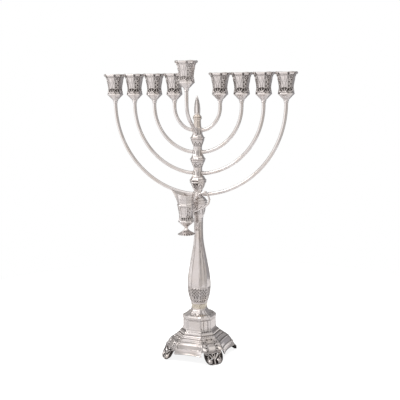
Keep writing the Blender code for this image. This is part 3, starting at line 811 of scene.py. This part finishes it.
def make_pedestal():
    """The square block with its concave roof."""
    low, high = span("pedestal_block")
    outside = (
        (46.3, 31.7), (47.1, 31.0), (47.6, 30.2), (49.4, 28.2), (52.0, 27.1), (55.0, 26.7),
        (68.2, 26.6), (68.8, 27.2), (69.4, 27.0), (70.0, 27.6), (73.4, 27.6), (74.0, 27.2),
        (75.6, 25.4), (77.5, 21.9), (80.0, 18.1), (83.5, 14.6), (85.6, 13.2), (86.3, 13.5),
        (87.0, 12.8),
    )
    inside = (
        (high, BORE), (high - 2, BORE), (high - 2, 9), (80.0, 15), (74.5, 22.5), (70.0, 23.4),
        (57.0, 23.6), (51.0, 25.6), (low, 29.8),
    )

    def relief(kind, x, z, width):
        a = np.abs(x)
        eave = between(z, 70.2, 73.4, 0.4)
        dashes = dome((x + 1.4) % 2.8 - 1.4, 1.15)
        d, dark = eave * (0.3 * dashes - 0.15), 0.5 * eave * (1 - ease(dashes, 0.25, 0.4))
        roof = between(z, 74.6, 84.0, 0.8)
        if kind == MAIN:
            inset = np.minimum.reduce([width - a - 1.2, z - 49.0, 67.0 - z])
            rise = -0.35 * ease(inset, 0.2, 0.5) + 0.15 * dome(inset + 0.3, 0.4)
            oxide_and_shade = 0.4 * dome(inset - 0.3, 0.45)
            swag = dome(np.hypot(a - 0.5 * width, (z - 80.0) / 0.8) - 4.4, 0.9) * (z < 80.0)
            d = d - 0.35 * roof * swag
            dark = highest(dark, 0.65 * roof * swag)
        else:
            wall = between(z, 48.0, 67.8, 0.5)
            tongue = np.hypot(x / 3.1, np.minimum(z - 53.0, 0) / 4.0)
            gutter = dome(tongue - 1.36, 0.36)
            outer = dome(width - a - 0.3, 0.9)
            rib = dome(a - 0.7 * width, 1.3)
            rise = wall * (0.9 * dome(tongue, 1) - 0.35 * gutter - 0.3 * outer + 0.3 * rib)
            oxide_and_shade = wall * highest(0.5 * gutter, 0.5 * outer)
            row = between(z, 46.6, 50.2, 0.3)
            spots = spot((x + 1.9) % 3.8 - 1.9, z - 48.4, 1.5) * row
            rise = rise - 0.4 * spots
            oxide_and_shade = highest(oxide_and_shade, spots)
            stripe = dome(a - 0.5 * width, 0.9) * roof
            d = d - 0.3 * stripe
            dark = highest(dark, 0.7 * stripe)
        rise = rise + d
        # Dark lines down the roof's hips, where its faces meet, are painted shade.
        ridge = 0.6 * roof * dome(width - a, 1.0)
        lines = highest(dome(z - 68.4, 0.6), dome(z - 69.7, 0.3), dome(z - 47.8, 0.6), dome(z - 85.0, 0.5))
        return rise, highest(oxide_and_shade, dark, ridge, 0.65 * lines)

    def ears(across, main, z, half, outer):
        """The eaves lift slightly over the canted corners."""
        t = between(z, 72.5, 77.0, 3.0)
        on_main = 0.6 * np.clip((np.abs(across) - 0.5) / 0.5, 0, 1) ** 2
        toward = np.where(main, on_main, 0.6 + 0.4 * (1 - across**2))
        return z + 1.1 * t * toward, half + 0.2 * t * toward, 0.0

    shape = skin(outside, inside, (44, 44), BASE_CANT, relief, step=0.42, warp=ears)
    make("pedestal_chased", "pedestal_block", shape, CHASED)


def make_base_collar():
    """The mottled collar on top of the roof."""
    low, high = span("base_collar")
    rings = (
        (low, 12.9), (low + 0.7, 13.4), (low + 1.3, 13.1), (low + 3.0, 12.8), (low + 5.0, 13.0),
        (low + 6.4, 13.5), (high, 13.3),
    )

    def mottle(kind, x, z, width):
        stagger = np.where((z - low - 0.4) % 4.8 < 2.4, 0.0, 1.6)
        spots = spot((x + 1.6 + stagger) % 3.2 - 1.6, (z - low - 0.4) % 2.4 - 1.2, 1.1)
        spots = spots * between(z, low + 1.2, low + 6.4, 0.4)
        cut = dome(width - np.abs(x) - 0.7, 0.4)
        return -0.25 * spots - 0.15 * cut, highest(0.4 * spots, 0.35 * cut)

    shape = skin(rings, ((high, BORE), (low, BORE)), (26, 24), BASE_CANT, mottle, step=0.4)
    make("base_collar_ridged", "base_collar", shape, CREAM)


SKIRT_OUTSIDE = (
    (13.0, 59.2), (13.5, 59.7), (14.2, 59.0), (15.6, 57.9), (17.5, 57.0), (21.6, 55.3), (22.1, 55.5),
    (22.7, 55.0), (23.1, 53.8), (23.6, 53.5), (28.5, 50.7), (31.6, 48.3), (32.2, 48.5), (32.9, 47.4),
    (33.3, 46.4), (34.2, 45.8), (35.6, 43.4), (36.8, 41.6), (37.3, 41.6), (37.8, 40.4), (38.1, 38.9),
    (40.0, 37.6), (40.4, 37.8), (40.9, 36.4), (42.0, 35.6), (42.4, 35.0), (42.9, 33.1), (44.0, 32.8),
    (45.4, 32.5), (46.0, 31.9),
)
SKIRT_INSIDE = (
    (46.0, 26.0), (44.0, 26.0), (44.0, 31.0), (42.4, 31.2), (41.0, 33.4), (36.0, 39.6), (32.6, 44.2),
    (27.0, 48.8), (22.0, 52.2), (17.0, 54.9), (13.0, 57.2),
)


SKIRT_PANELS = ((23.4, 31.4, 2.6), (33.6, 36.9, 2.2), (38.2, 40.3, 2.0))  # bottom, top and end margin
# height, darkness and half width of the painted shade lines under the mouldings
SKIRT_SHADE_LINES = ((13.3, 0.675, 0.8), (17.6, 0.375, 0.4), (22.9, 0.525, 0.5), (33.3, 0.75, 0.8),
               (38.0, 0.6, 0.6), (42.7, 0.75, 0.7))
CARTOUCHE_Z, CARTOUCHE_R = 26.6, 7.8  # the smooth shield on each canted corner
CHAIN_R, BEAD_R = 10.2, 1.5  # the chain of beads round it


def make_skirt():
    """The stepped lower shell. Its long sides are plain mouldings and its corners are chased."""
    low, high = span("base_skirt")
    foot_top = top("foot_front_right") + GAP

    def warp(across, main, z, half, outer):
        """The long sides curve in towards the foot of the skirt, and the corners stop above the feet."""
        down = np.clip((high - z) / (high - low), 0, 1)
        inset = (1 - np.abs(across)) * np.where(main, half * 0.49, half * 0.36)
        near = np.where(main, 1 - ease(inset, 2.2, 3.0), 1.0)
        floor = low + (foot_top - low) * near
        squeeze = np.clip((z - low) / (high - 8 - low), 0, 1)
        lifted = np.where(z < high - 8, floor + (high - 8 - floor) * squeeze, z)
        out = np.array(SKIRT_OUTSIDE)
        inn = np.array(SKIRT_INSIDE[2:])[::-1]
        new_outer = np.interp(lifted, out[:, 0], out[:, 1])
        new_inner = np.interp(lifted, inn[:, 0], inn[:, 1])
        changed = np.where(outer, new_outer, new_inner)
        half = np.where(np.abs(lifted - z) > 1e-6, changed, half)
        pull = 5.0 * down * (1 - across**2) * main
        return lifted, half, pull

    def relief(kind, x, z, width):
        a = np.abs(x)
        if kind == MAIN:
            rise, oxide_and_shade = 0 * x, 0 * x
            # Painted shade under the mouldings.
            for up, dark, radius in SKIRT_SHADE_LINES:
                oxide_and_shade = highest(oxide_and_shade, dark * dome(z - up, radius))
            for down, up, margin in SKIRT_PANELS:
                radius = (up - down) / 2
                middle = (up + down) / 2
                past = np.clip(a - (width - margin - radius), 0, None)
                inset = radius - np.hypot(past, z - middle)
                inset = np.where(past > 0, inset, np.minimum(z - down, up - z))
                ring = dome(inset, 0.8) * (past > 0)
                rise = rise + 0.28 * dome(inset + 0.5, 0.5) * (past > 0) - 0.25 * ring
                oxide_and_shade = highest(oxide_and_shade, 0.8 * ring)
            return rise, highest(oxide_and_shade, 0.5 * dome(width - a - 0.3, 0.7) * ease(z, 22, 1))
        dz = (z - CARTOUCHE_Z) / 0.84
        r = np.hypot(x, dz)
        turn = np.arctan2(dz, x)
        lower = between(z, 20.0, 33.0, 0.4) * ease(width - a, 0.6, 0.4)
        smooth = 0.6 * ease(CARTOUCHE_R - r, 0.6, 1.4) + 0.15 * dome(r, CARTOUCHE_R)
        rim = dome(r - CARTOUCHE_R - 0.4, 0.7)
        pitch = math.radians(27.7)
        along = CHAIN_R * ((turn + pitch / 2) % pitch - pitch / 2)
        chain = spot(r - CHAIN_R, along, BEAD_R)
        between_beads = (np.abs(r - CHAIN_R) < BEAD_R) * (1 - ease(chain, 0.3, 0.3))
        sweep = 0.5 + 0.5 * np.cos(11 * turn + 0.5 * (r - 11))
        strips = (r > 11.6) * ease(sweep, 0.28, 0.4)
        hollow = (r > 11.6) * (1 - ease(sweep, 0.12, 0.16))
        stands = 0.9 * smooth + 0.45 * chain + 0.2 * strips
        sinks = 0.25 * hollow + 0.3 * between_beads + 0.25 * rim
        rise = lower * (stands - sinks)
        oxide_and_shade = lower * highest(0.5 * rim, 0.95 * between_beads, 0.35 * hollow, 0.26 * (r < CARTOUCHE_R))
        curl = line(a, z, scroll(width - 6.4, 30.2, 1.9, 200, 1.1, -1), 0.55)
        rise = rise + 0.5 * lower * curl
        band = between(z, 33.6, 42.6, 0.4) * ease(width - a, 0.6, 0.4)
        row = leaf((x + 2.0) % 4.0 - 2.0, z, (0, 43.2), (0, 39.2), 1.6, 1.0)
        row_pits = between(z, 40.4, 42.7, 0.3) * (1 - ease(row, 0.2, 0.3))
        swag = line(a, z, [(0, 35.0), (4.0, 35.6), (8.0, 38.0), *scroll(10.6, 37.0, 1.6, 120, 0.9, -1)], 0.7)
        shell = fan(x, z, 0, 34.2, 5.4, 5, 140, 1.0)
        places = ((4.6, 37.6, 1.5), (12.4, 34.8, 1.5), (8.6, 35.2, 1.2))
        low_pits = highest(*(spot(a - out, z - up, radius) for out, up, radius in places))
        rise = rise + band * (0.55 * highest(swag, shell, 0.8 * row) - 0.5 * np.maximum(low_pits, row_pits))
        ground = 0.35 * (1 - highest(swag, shell)) * (z < 39)
        oxide_and_shade = highest(oxide_and_shade, band * highest(low_pits, 0.85 * row_pits, ground))
        # The dark lines under the two mouldings are painted shade; the third darkens the corners.
        lines = highest(dome(z - 33.2, 0.6), dome(z - 42.8, 0.7), dome(width - a - 0.4, 0.7))
        return rise, highest(oxide_and_shade, 0.65 * lines)

    shape = skin(SKIRT_OUTSIDE, SKIRT_INSIDE, (56, 84), BASE_CANT, relief, step=0.45, warp=warp)
    make("base_skirt_moulded", "base_skirt", shape, CHASED)


FOOT_TOP_REACH, FOOT_FLOOR_REACH, FOOT_HEIGHT = 58.6, 71.5, 20.7
FOOT_CURL = 0.9  # below 1 the foot's face bulges outwards
PLATE_BACK, PLATE_THICK = 2.0, 1.2  # the sunk plate's front behind the foot's face, and its thickness


def foot_parts():
    """One scroll foot, flat: x across, y out from the face and z up. make_feet() bends it afterwards."""
    face = (0, 1, 0)
    parts = []

    def wire(points, start, end, out=0.0, drop=0.0, sign=1):
        t = np.linspace(0, 1, len(points))
        path = np.array([(sign * x, out - drop * k, z) for (x, z), k in zip(points, t)])
        parts.append(rod(path, start + (end - start) * t, normal=face, count=12))

    for sign in (-1, 1):
        rail = [(15.6, 19.4), (16.4, 15.5), (16.2, 11.6), (14.8, 7.2), (11.8, 3.6), (8.0, 1.8)]
        wire(spline(rail, 6), 1.3, 1.3, -1.0, -0.6, sign)
        wire(scroll(8.2, 7.4, 4.5, 70, 1.0, -1, 34, 0.45), 1.15, 0.9, 0.3, -0.6, sign)
        parts.append(ball((sign * 8.0, 1.5, 6.6), 3.3, (1, 0.75, 1)))
        curl = [(15.0, 18.0), (11.4, 16.6), (9.6, 14.4), (11.2, 12.8), (12.6, 13.8)]
        wire(spline(curl, 6), 1.2, 0.9, 0.1, sign=sign)
        wire(spline([(3.4, 18.6), (7.6, 18.2), (11.6, 18.8)], 6), 1.1, 0.8, -0.2, sign=sign)
    wire(spline([(-15.4, 19.4), (-6.0, 19.6), (0.0, 19.6), (6.0, 19.6), (15.4, 19.4)], 6), 1.1, 1.1, -0.7)
    ring = [(2.6 * math.cos(t), 15.8 + 2.6 * math.sin(t)) for t in np.linspace(0, 2 * math.pi, 22)]
    wire(ring, 1.0, 1.0, 0.5)
    wire(spline([(-7.4, 16.0), (-4.0, 12.0), (0, 10.8), (4.0, 12.0), (7.4, 16.0)], 6), 1.15, 1.15, 0.9)
    wire([(0, 10.8), (0, 7.0), (0, 4.0), (0, 1.6)], 1.2, 1.6, 0.5)
    parts.append(rod([(-6.0, -1.0, 1.25), (6.0, -1.0, 1.25)], 1.25, 2.2, normal=face, count=12))
    return parts


def foot_plate():
    """The sunk back plate between the scrolls, from the middle of its top edge round to the toe."""
    right = [(16.2, 20.2), (16.3, 12.5), (15.4, 6.6), (12.0, 3.4), (8.4, 2.8), (6.0, 1.8), (5.0, 0.4)]
    return right + [(-x, z) for x, z in reversed(right)]


def pierced_plate():
    """The foot's back plate as a mesh: its outline and four oval holes, filled and given a thickness."""
    bm = bmesh.new()
    edges = []
    rounds = np.linspace(0, 2 * math.pi, 15)[:-1]
    loops = [foot_plate()]
    for x, z, w, h in ((9.6, 16.2, 1.6, 1.2), (3.6, 8.9, 1.2, 1.4)):
        for sign in (-1, 1):
            loops.append([(sign * x + w * math.cos(t), z + h * math.sin(t)) for t in rounds])
    for loop in loops:
        corners = [bm.verts.new((x, -PLATE_BACK, z)) for x, z in loop]
        edges += [bm.edges.new((corners[i - 1], corners[i])) for i in range(len(corners))]
    bmesh.ops.triangle_fill(bm, edges=edges, use_beauty=True)
    bmesh.ops.subdivide_edges(bm, edges=bm.edges, cuts=2)
    bmesh.ops.recalc_face_normals(bm, faces=bm.faces)
    grown = bmesh.ops.extrude_face_region(bm, geom=list(bm.faces), use_keep_orig=True)
    for item in grown["geom"]:
        if isinstance(item, bmesh.types.BMVert):
            item.co.y -= PLATE_THICK
    bmesh.ops.recalc_face_normals(bm, faces=bm.faces)
    bm.verts.index_update()
    verts = np.array([v.co for v in bm.verts], float)
    faces = [[v.index for v in f.verts] for f in bm.faces]
    bm.free()
    return verts, faces


def make_feet():
    """Four feet of one pattern. They are painted darker the further back a point lies behind the scroll
    faces, as shade in the deep recesses, with a dark mottle laid over, and less along the top.
    """
    flat, faces = join([cast(foot_parts()), pierced_plate()])
    flat[:, 2] = np.clip(flat[:, 2], 0.0, FOOT_HEIGHT)
    x, out, z = flat.T
    mottle = 0.5 + 0.5 * np.sin(1.9 * x + 1.1 * z) * np.sin(1.6 * z - 0.9 * x)
    # Painted shade: darker the further a point lies behind the face of the scrolls; the mottle adds dark
    # patches.
    dark = 1.25 * (1 - ease(out, 0.8, 1.6)) + 0.6 * ease(mottle, 0.6, 0.3)
    oxide_and_shade = dark * (1 - 0.75 * ease(z, 18.6, 1.5))
    down = np.clip(1 - z / FOOT_HEIGHT, 0, 1)
    reach = FOOT_TOP_REACH - 1.3 + (FOOT_FLOOR_REACH - FOOT_TOP_REACH) * down**FOOT_CURL + out
    for quarter, corner in enumerate(("rear_right", "rear_left", "front_left", "front_right")):
        a = math.radians(45 + 90 * quarter)
        px = reach * math.cos(a) - x * math.sin(a)
        py = reach * math.sin(a) + x * math.cos(a)
        shape = (np.stack([px, py, z], 1), faces, oxide_and_shade)
        make(f"foot_{corner}_scrolls", f"foot_{corner}", shape, CHASED, crease=50)


# Jug ------------------------------


# Heights over the jug body's underside, and half widths
JUG_PROFILE = (
    (0.0, 2.5), (0.8, 3.2), (1.6, 2.9), (3.0, 4.6), (6.0, 7.8), (9.6, 11.2), (10.6, 12.4), (11.6, 12.9),
    (12.8, 12.8), (13.6, 12.2), (15.5, 12.2), (18.5, 11.4), (20.5, 11.1), (24.0, 11.1), (29.0, 11.8),
    (34.0, 12.7), (38.6, 13.3), (39.4, 13.9), (40.4, 14.3), (41.6, 14.2), (42.4, 13.6), (43.4, 13.2),
    (49.0, 13.2), (55.0, 13.8), (58.2, 14.4), (59.2, 14.3),
)
JUG_INSIDE = (
    (59.2, 13.4), (54.0, 12.4), (47.0, 11.8), (41.0, 11.9), (26.0, 9.9), (18.0, 9.6), (14.5, 9.4),
    (14.5, 0.4), (8.0, 0.4), (0.0, 0.4),
)
JUG_RIM, SPOUT_FOOT = 59.2, 42.0


def make_jug_body():
    """The jug's panelled cup. Its height is counted from its own underside."""

    def spout(px, py, z):
        """Draws the -X side out into a high pouring lip."""
        t = np.clip((z - SPOUT_FOOT) / (JUG_RIM - SPOUT_FOOT), 0, 1)
        half = 13.2 + 1.2 * t
        share = np.clip(-px / half, 0, None) ** 2
        reach = 12.6 * t**1.6
        lip = 7.6 * t**2
        squeeze = 0.75 * np.clip(share, 0, 1) * np.minimum(1, reach / 12)
        return px - reach * share, py * (1 - squeeze), z + lip * share

    def relief(kind, px, z, width):
        a = np.abs(px)
        ribs = 0.16 * np.cos(2 * math.pi * z / 1.7) * between(z, 43.4, 57.5, 1.0)
        lip = ease(z, 57.9, 0.5) * 0.4
        wall = between(z, 19.5, 38.4, 0.6)
        if kind == MAIN:
            rise, oxide_and_shade = framed_panel(px, z, width, 20.0, 38.0, 1.0, 0.35, 0.18)
        else:
            zone = wall * ease(width - a, 0.8, 0.4)
            spots = staggered(px, z, width, 19.4, 3.6, 1.5, 0.7, 1.3)
            rise, oxide_and_shade = pierce(zone, spots, 1 - spots, 0.6, 0.3)
            oxide_and_shade = highest(0.75 * oxide_and_shade, 0.16 * zone)
        offset, spacing = shares(px, width, 3 if kind == MAIN else 2)
        tips = leaf(offset, z, (0, 9.8), (0, 19.4), 0.52 * spacing, 2)
        d, dark = chase(between(z, 13.4, 19.2, 0.5), tips, 0.7, 0.4)
        grooves = highest(dome(z - 39.0, 0.4), dome(z - 42.6, 0.4))
        return rise + d + ribs + lip, highest(oxide_and_shade, dark, 0.7 * grooves, 0.35 * (ribs < -0.1))

    shape = skin(JUG_PROFILE, JUG_INSIDE, (24, 22), CUP_CANT, relief, step=0.42, bend=spout)
    at = (*centre("jug_foot"), bottom("jug_body"))
    make("jug_body_chased", "jug_body", shape, CHASED, rides="jug", at=at)


def make_jug_foot():
    """The jug's spreading foot, with petals down it and a scalloped edge."""
    low, high = span("jug_foot")
    outside = (
        (low, 13.4), (low + 0.5, 13.9), (low + 1.4, 13.8), (low + 2.0, 12.6), (low + 3.0, 11.4),
        (low + 4.6, 8.6), (low + 6.6, 5.9), (low + 8.4, 4.1), (low + 9.6, 3.3), (high, 2.5),
    )

    def petals(kind, px, z, width):
        offset, spacing = shares(px, width, 3 if kind == MAIN else 2)
        zone = between(z, low + 2.2, low + 7.5, 0.6)
        d, dark = chase(zone, leaf(offset, z, (0, low + 0.5), (0, low + 8.5), 0.5 * spacing, 2), 0.5, 0.3)
        edge = between(z, low - 1, low + 2.0, 0.4)
        scallop = dome(offset, 0.5 * spacing)
        from_join = np.abs(offset) - 0.5 * spacing
        dots = spot(from_join, z - low - 1.9, 1.5)
        return d + edge * (0.6 * scallop - 0.4), highest(dark, dots, edge * dome(from_join, 0.6))

    shape = skin(outside, None, (20, 18), CUP_CANT, petals, step=0.4)
    make("jug_foot_scalloped", "jug_foot", shape, CHASED, rides="jug", at=(*centre("jug_foot"), 0))


def make_jug_handle():
    """A looped handle in the jug's middle plane, with a scroll at each root, a thumb leaf and two beads."""
    y = centre("jug_foot")[1]
    route = [(4.9, 291.5), (8.0, 295.0), (15.0, 298.9), (22.5, 301.6), (29.0, 300.0), (33.0, 293.5),
             (33.2, 286.5), (30.0, 280.6), (22.0, 275.6), (12.0, 270.6), (3.4, 266.6)]
    path = spline([(px, y, pz) for px, pz in route], 8)
    t = np.linspace(0, 1, len(path))
    size = 1.25 + 0.35 * np.sin(math.pi * t) ** 0.5
    parts = [rod(path, size, count=16)]
    for px, pz, r, start, hand in ((5.6, 288.2, 2.4, 80, 1), (5.0, 271.0, 2.6, -110, -1)):
        curl = [(cx, y, cz) for cx, cz in scroll(px + 1.2, pz, r, start, 1.0, hand)]
        parts.append(rod(curl, np.linspace(1.0, 0.7, len(curl)), count=10))
    thumb = spline([(17.5, y, 300.6), (21.0, y, 303.0), (25.5, y, 304.2), (29.0, y, 303.6)], 6)
    wide, thick = np.linspace((0.5, 0.5), (1.5, 0.8), len(thumb)).T
    parts.append(rod(thumb, wide, thick, normal=(0, 0, 1), count=12))
    for px, pz in ((33.9, 290.0), (31.9, 283.0)):
        parts.append(ball((px, y, pz), 1.95, (1, 0.9, 1)))
    make("jug_handle_scrolled", "jug_handle", cast(parts, 0.35), PLAIN, rides="jug", crease=60)


def make_hook():
    """The jug's hook: a bar that comes forward from the lowest hub and turns up at its ball end."""
    z = 293.6
    route = [(0.0, -5.2, z), (0.0, -HUB_WAIST, z), (1.6, -13.0, 293.9), (9.0, -19.0, 294.4),
             (14.0, -26.0, 294.8), (15.0, -32.0, 294.9), (15.0, -36.8, 297.0), (15.0, -38.6, 300.6)]
    path = spline(route, 8)
    plate = rod([(0, y, z) for y in (-7.7, -8.4, -9.0)], [4.0, 3.6, 1.9], count=24)
    tip = ball(path[-1] + (0, -0.6, 2.0), 2.3)
    make("jug_hook_forged", "jug_hook", cast([rod(path, 1.65, count=16), plate, tip]), PLAIN, crease=60)


# Fixings keep their CAD shapes ------------------------------


def finish_fixings():
    for node in ("tie_rod", "bridge_plate", "rod_washer", "rod_nut"):
        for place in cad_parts[node].material_slots:
            place.material = STEEL


# Stage, light and camera ------------------------------


FLOOR_R = 0.75
# Soft cards round the studio: direction, colour, and the angles where each starts and stops to fade.
CARDS = (
    ((0.25, 0.97, -0.05), (0.30, 0.295, 0.30), 15, 55),
    ((-0.38, -0.92, -0.12), (0.86, 0.825, 0.815), 14, 40),
    ((0.92, -0.37, -0.15), (0.64, 0.605, 0.57), 10, 30),
    ((0.45, 0.88, -0.15), (0.36, 0.355, 0.37), 10, 30),
    ((-0.92, 0.37, -0.15), (0.60, 0.59, 0.59), 10, 26),
    ((-0.90, -0.43, -0.05), (1.35, 1.33, 1.32), 14, 32),
    ((0.42, -0.88, -0.05), (0.22, 0.205, 0.20), 3, 15),
    ((0.0, -0.2, 1.0), (0.95, 0.93, 0.92), 14, 44),
    ((-0.35, -0.60, 0.62), (1.8, 1.74, 1.7), 5, 14),
    ((0.75, -0.25, 0.60), (1.4, 1.36, 1.3), 3, 12),
)
BETWEEN_CARDS = (0.50, 0.485, 0.475, 1)  # the studio's own colour


def make_stage():
    """A plain pale table, lit from within so that shadows on it stay faint. The silver mirrors it greyer."""
    mesh = bpy.data.meshes.new("floor")
    rounds = 2 * math.pi * np.arange(96) / 96
    edge = [(FLOOR_R * math.cos(t), FLOOR_R * math.sin(t), 0) for t in rounds]
    mesh.from_pydata(edge, [], [list(range(96))])
    material = bpy.data.materials.new("pale_floor")
    material.use_nodes = True
    tree = material.node_tree
    seen = add_node(tree, "LightPath").outputs["Is Camera Ray"]
    looks = {
        "Roughness": 0.9,
        "Specular IOR Level": 0.0,
        "Emission Color": (1, 1, 1, 1),
        "Emission Strength": add_node(tree, "Math", {0: seen, 1: 0.895}, operation="MULTIPLY").outputs[0],
        "Base Color": mix_colours(tree, seen, (0.24, 0.235, 0.235, 1), (0.12, 0.12, 0.12, 1)),
    }
    set_inputs(tree, tree.nodes["Principled BSDF"], looks)
    mesh.materials.append(material)
    floor = bpy.data.objects.new("floor", mesh)
    bpy.context.scene.collection.objects.link(floor)


def make_world():
    """A plain studio: white behind the object, and soft light and dark cards for the silver to reflect."""
    world = bpy.data.worlds.new("studio")
    bpy.context.scene.world = world
    world.use_nodes = True
    tree = world.node_tree
    tree.nodes.clear()
    place = add_node(tree, "TexCoord").outputs["Generated"]
    light = BETWEEN_CARDS
    for direction, colour, inner, outer in CARDS:
        toward = {0: place, 1: Vector(direction).normalized()}
        dot = add_node(tree, "VectorMath", toward, operation="DOT_PRODUCT").outputs["Value"]
        none, full = (math.cos(math.radians(angle)) for angle in (outer, inner))
        fade = {"Value": dot, "From Min": none, "From Max": full}
        soft = add_node(tree, "MapRange", fade, interpolation_type="SMOOTHSTEP")
        light = mix_colours(tree, soft.outputs[0], light, (*colour, 1))
    around = add_node(tree, "Background", {"Color": light}).outputs[0]
    white = add_node(tree, "Background", {"Color": (1, 1, 1, 1)}).outputs[0]
    seen = add_node(tree, "LightPath").outputs["Is Camera Ray"]
    shown = add_node(tree, "MixShader", {0: seen, 1: around, 2: white}).outputs[0]
    add_node(tree, "OutputWorld", {"Surface": shown})


def add_light(name, place, size, power, colour, mirrored=True):
    light = bpy.data.lights.new(name, "AREA")
    light.shape = "RECTANGLE"
    light.size, light.size_y = size
    light.energy = power
    light.color = colour
    lamp = bpy.data.objects.new(name, light)
    lamp.location = place
    middle = Vector((0, 0, 0.25))
    lamp.rotation_euler = (middle - Vector(place)).to_track_quat("-Z", "Y").to_euler()
    lamp.visible_glossy = mirrored
    bpy.context.scene.collection.objects.link(lamp)


def make_lights():
    add_light("overhead", (0.0, 0.2, 1.9), (2.4, 2.4), 150, (1.0, 1.0, 1.0), mirrored=False)
    add_light("key", (-1.5, -0.7, 1.8), (1.0, 1.0), 14, (1.0, 0.98, 0.96))


def make_camera():
    """The reference's view: from the right of the front, a little above, and under a degree off level."""
    azimuth, tilt, roll = math.radians(22.25), math.radians(8.513), math.radians(-0.6458)
    back, height = 1385.6, 490.8
    level = Vector((math.cos(azimuth), math.sin(azimuth), 0))
    ahead = Vector((-math.sin(azimuth), math.cos(azimuth), 0))
    forward = ahead * math.cos(tilt) - Vector((0, 0, math.sin(tilt)))
    above = level.cross(forward)
    right = level * math.cos(roll) + above * math.sin(roll)
    up = above * math.cos(roll) - level * math.sin(roll)
    data = bpy.data.cameras.new("camera")
    data.sensor_width = 36
    data.lens = 70.775
    data.shift_x = 0.0044
    data.clip_start, data.clip_end = 0.05, 20
    camera = bpy.data.objects.new("camera", data)
    place = Vector((STEM_X + back * math.sin(azimuth), STEM_Y - back * math.cos(azimuth), height)) * MM
    camera.matrix_world = Matrix.Translation(place) @ Matrix((right, up, -forward)).transposed().to_4x4()
    bpy.context.scene.collection.objects.link(camera)
    bpy.context.scene.camera = camera


make_camera()
make_stage()
make_world()
make_lights()
make_cups()
for number in range(1, BRANCHES + 1):
    make_knop(number)
    make_hub(number)
make_baluster()
make_finial()
make_arms()
make_shamash_arm()
make_pedestal()
make_base_collar()
make_skirt()
make_feet()
make_jug_body()
make_jug_foot()
make_jug_handle()
make_hook()
finish_fixings()
bpy.context.scene.view_settings.view_transform = "Standard"

bpy.context.view_layer.update()
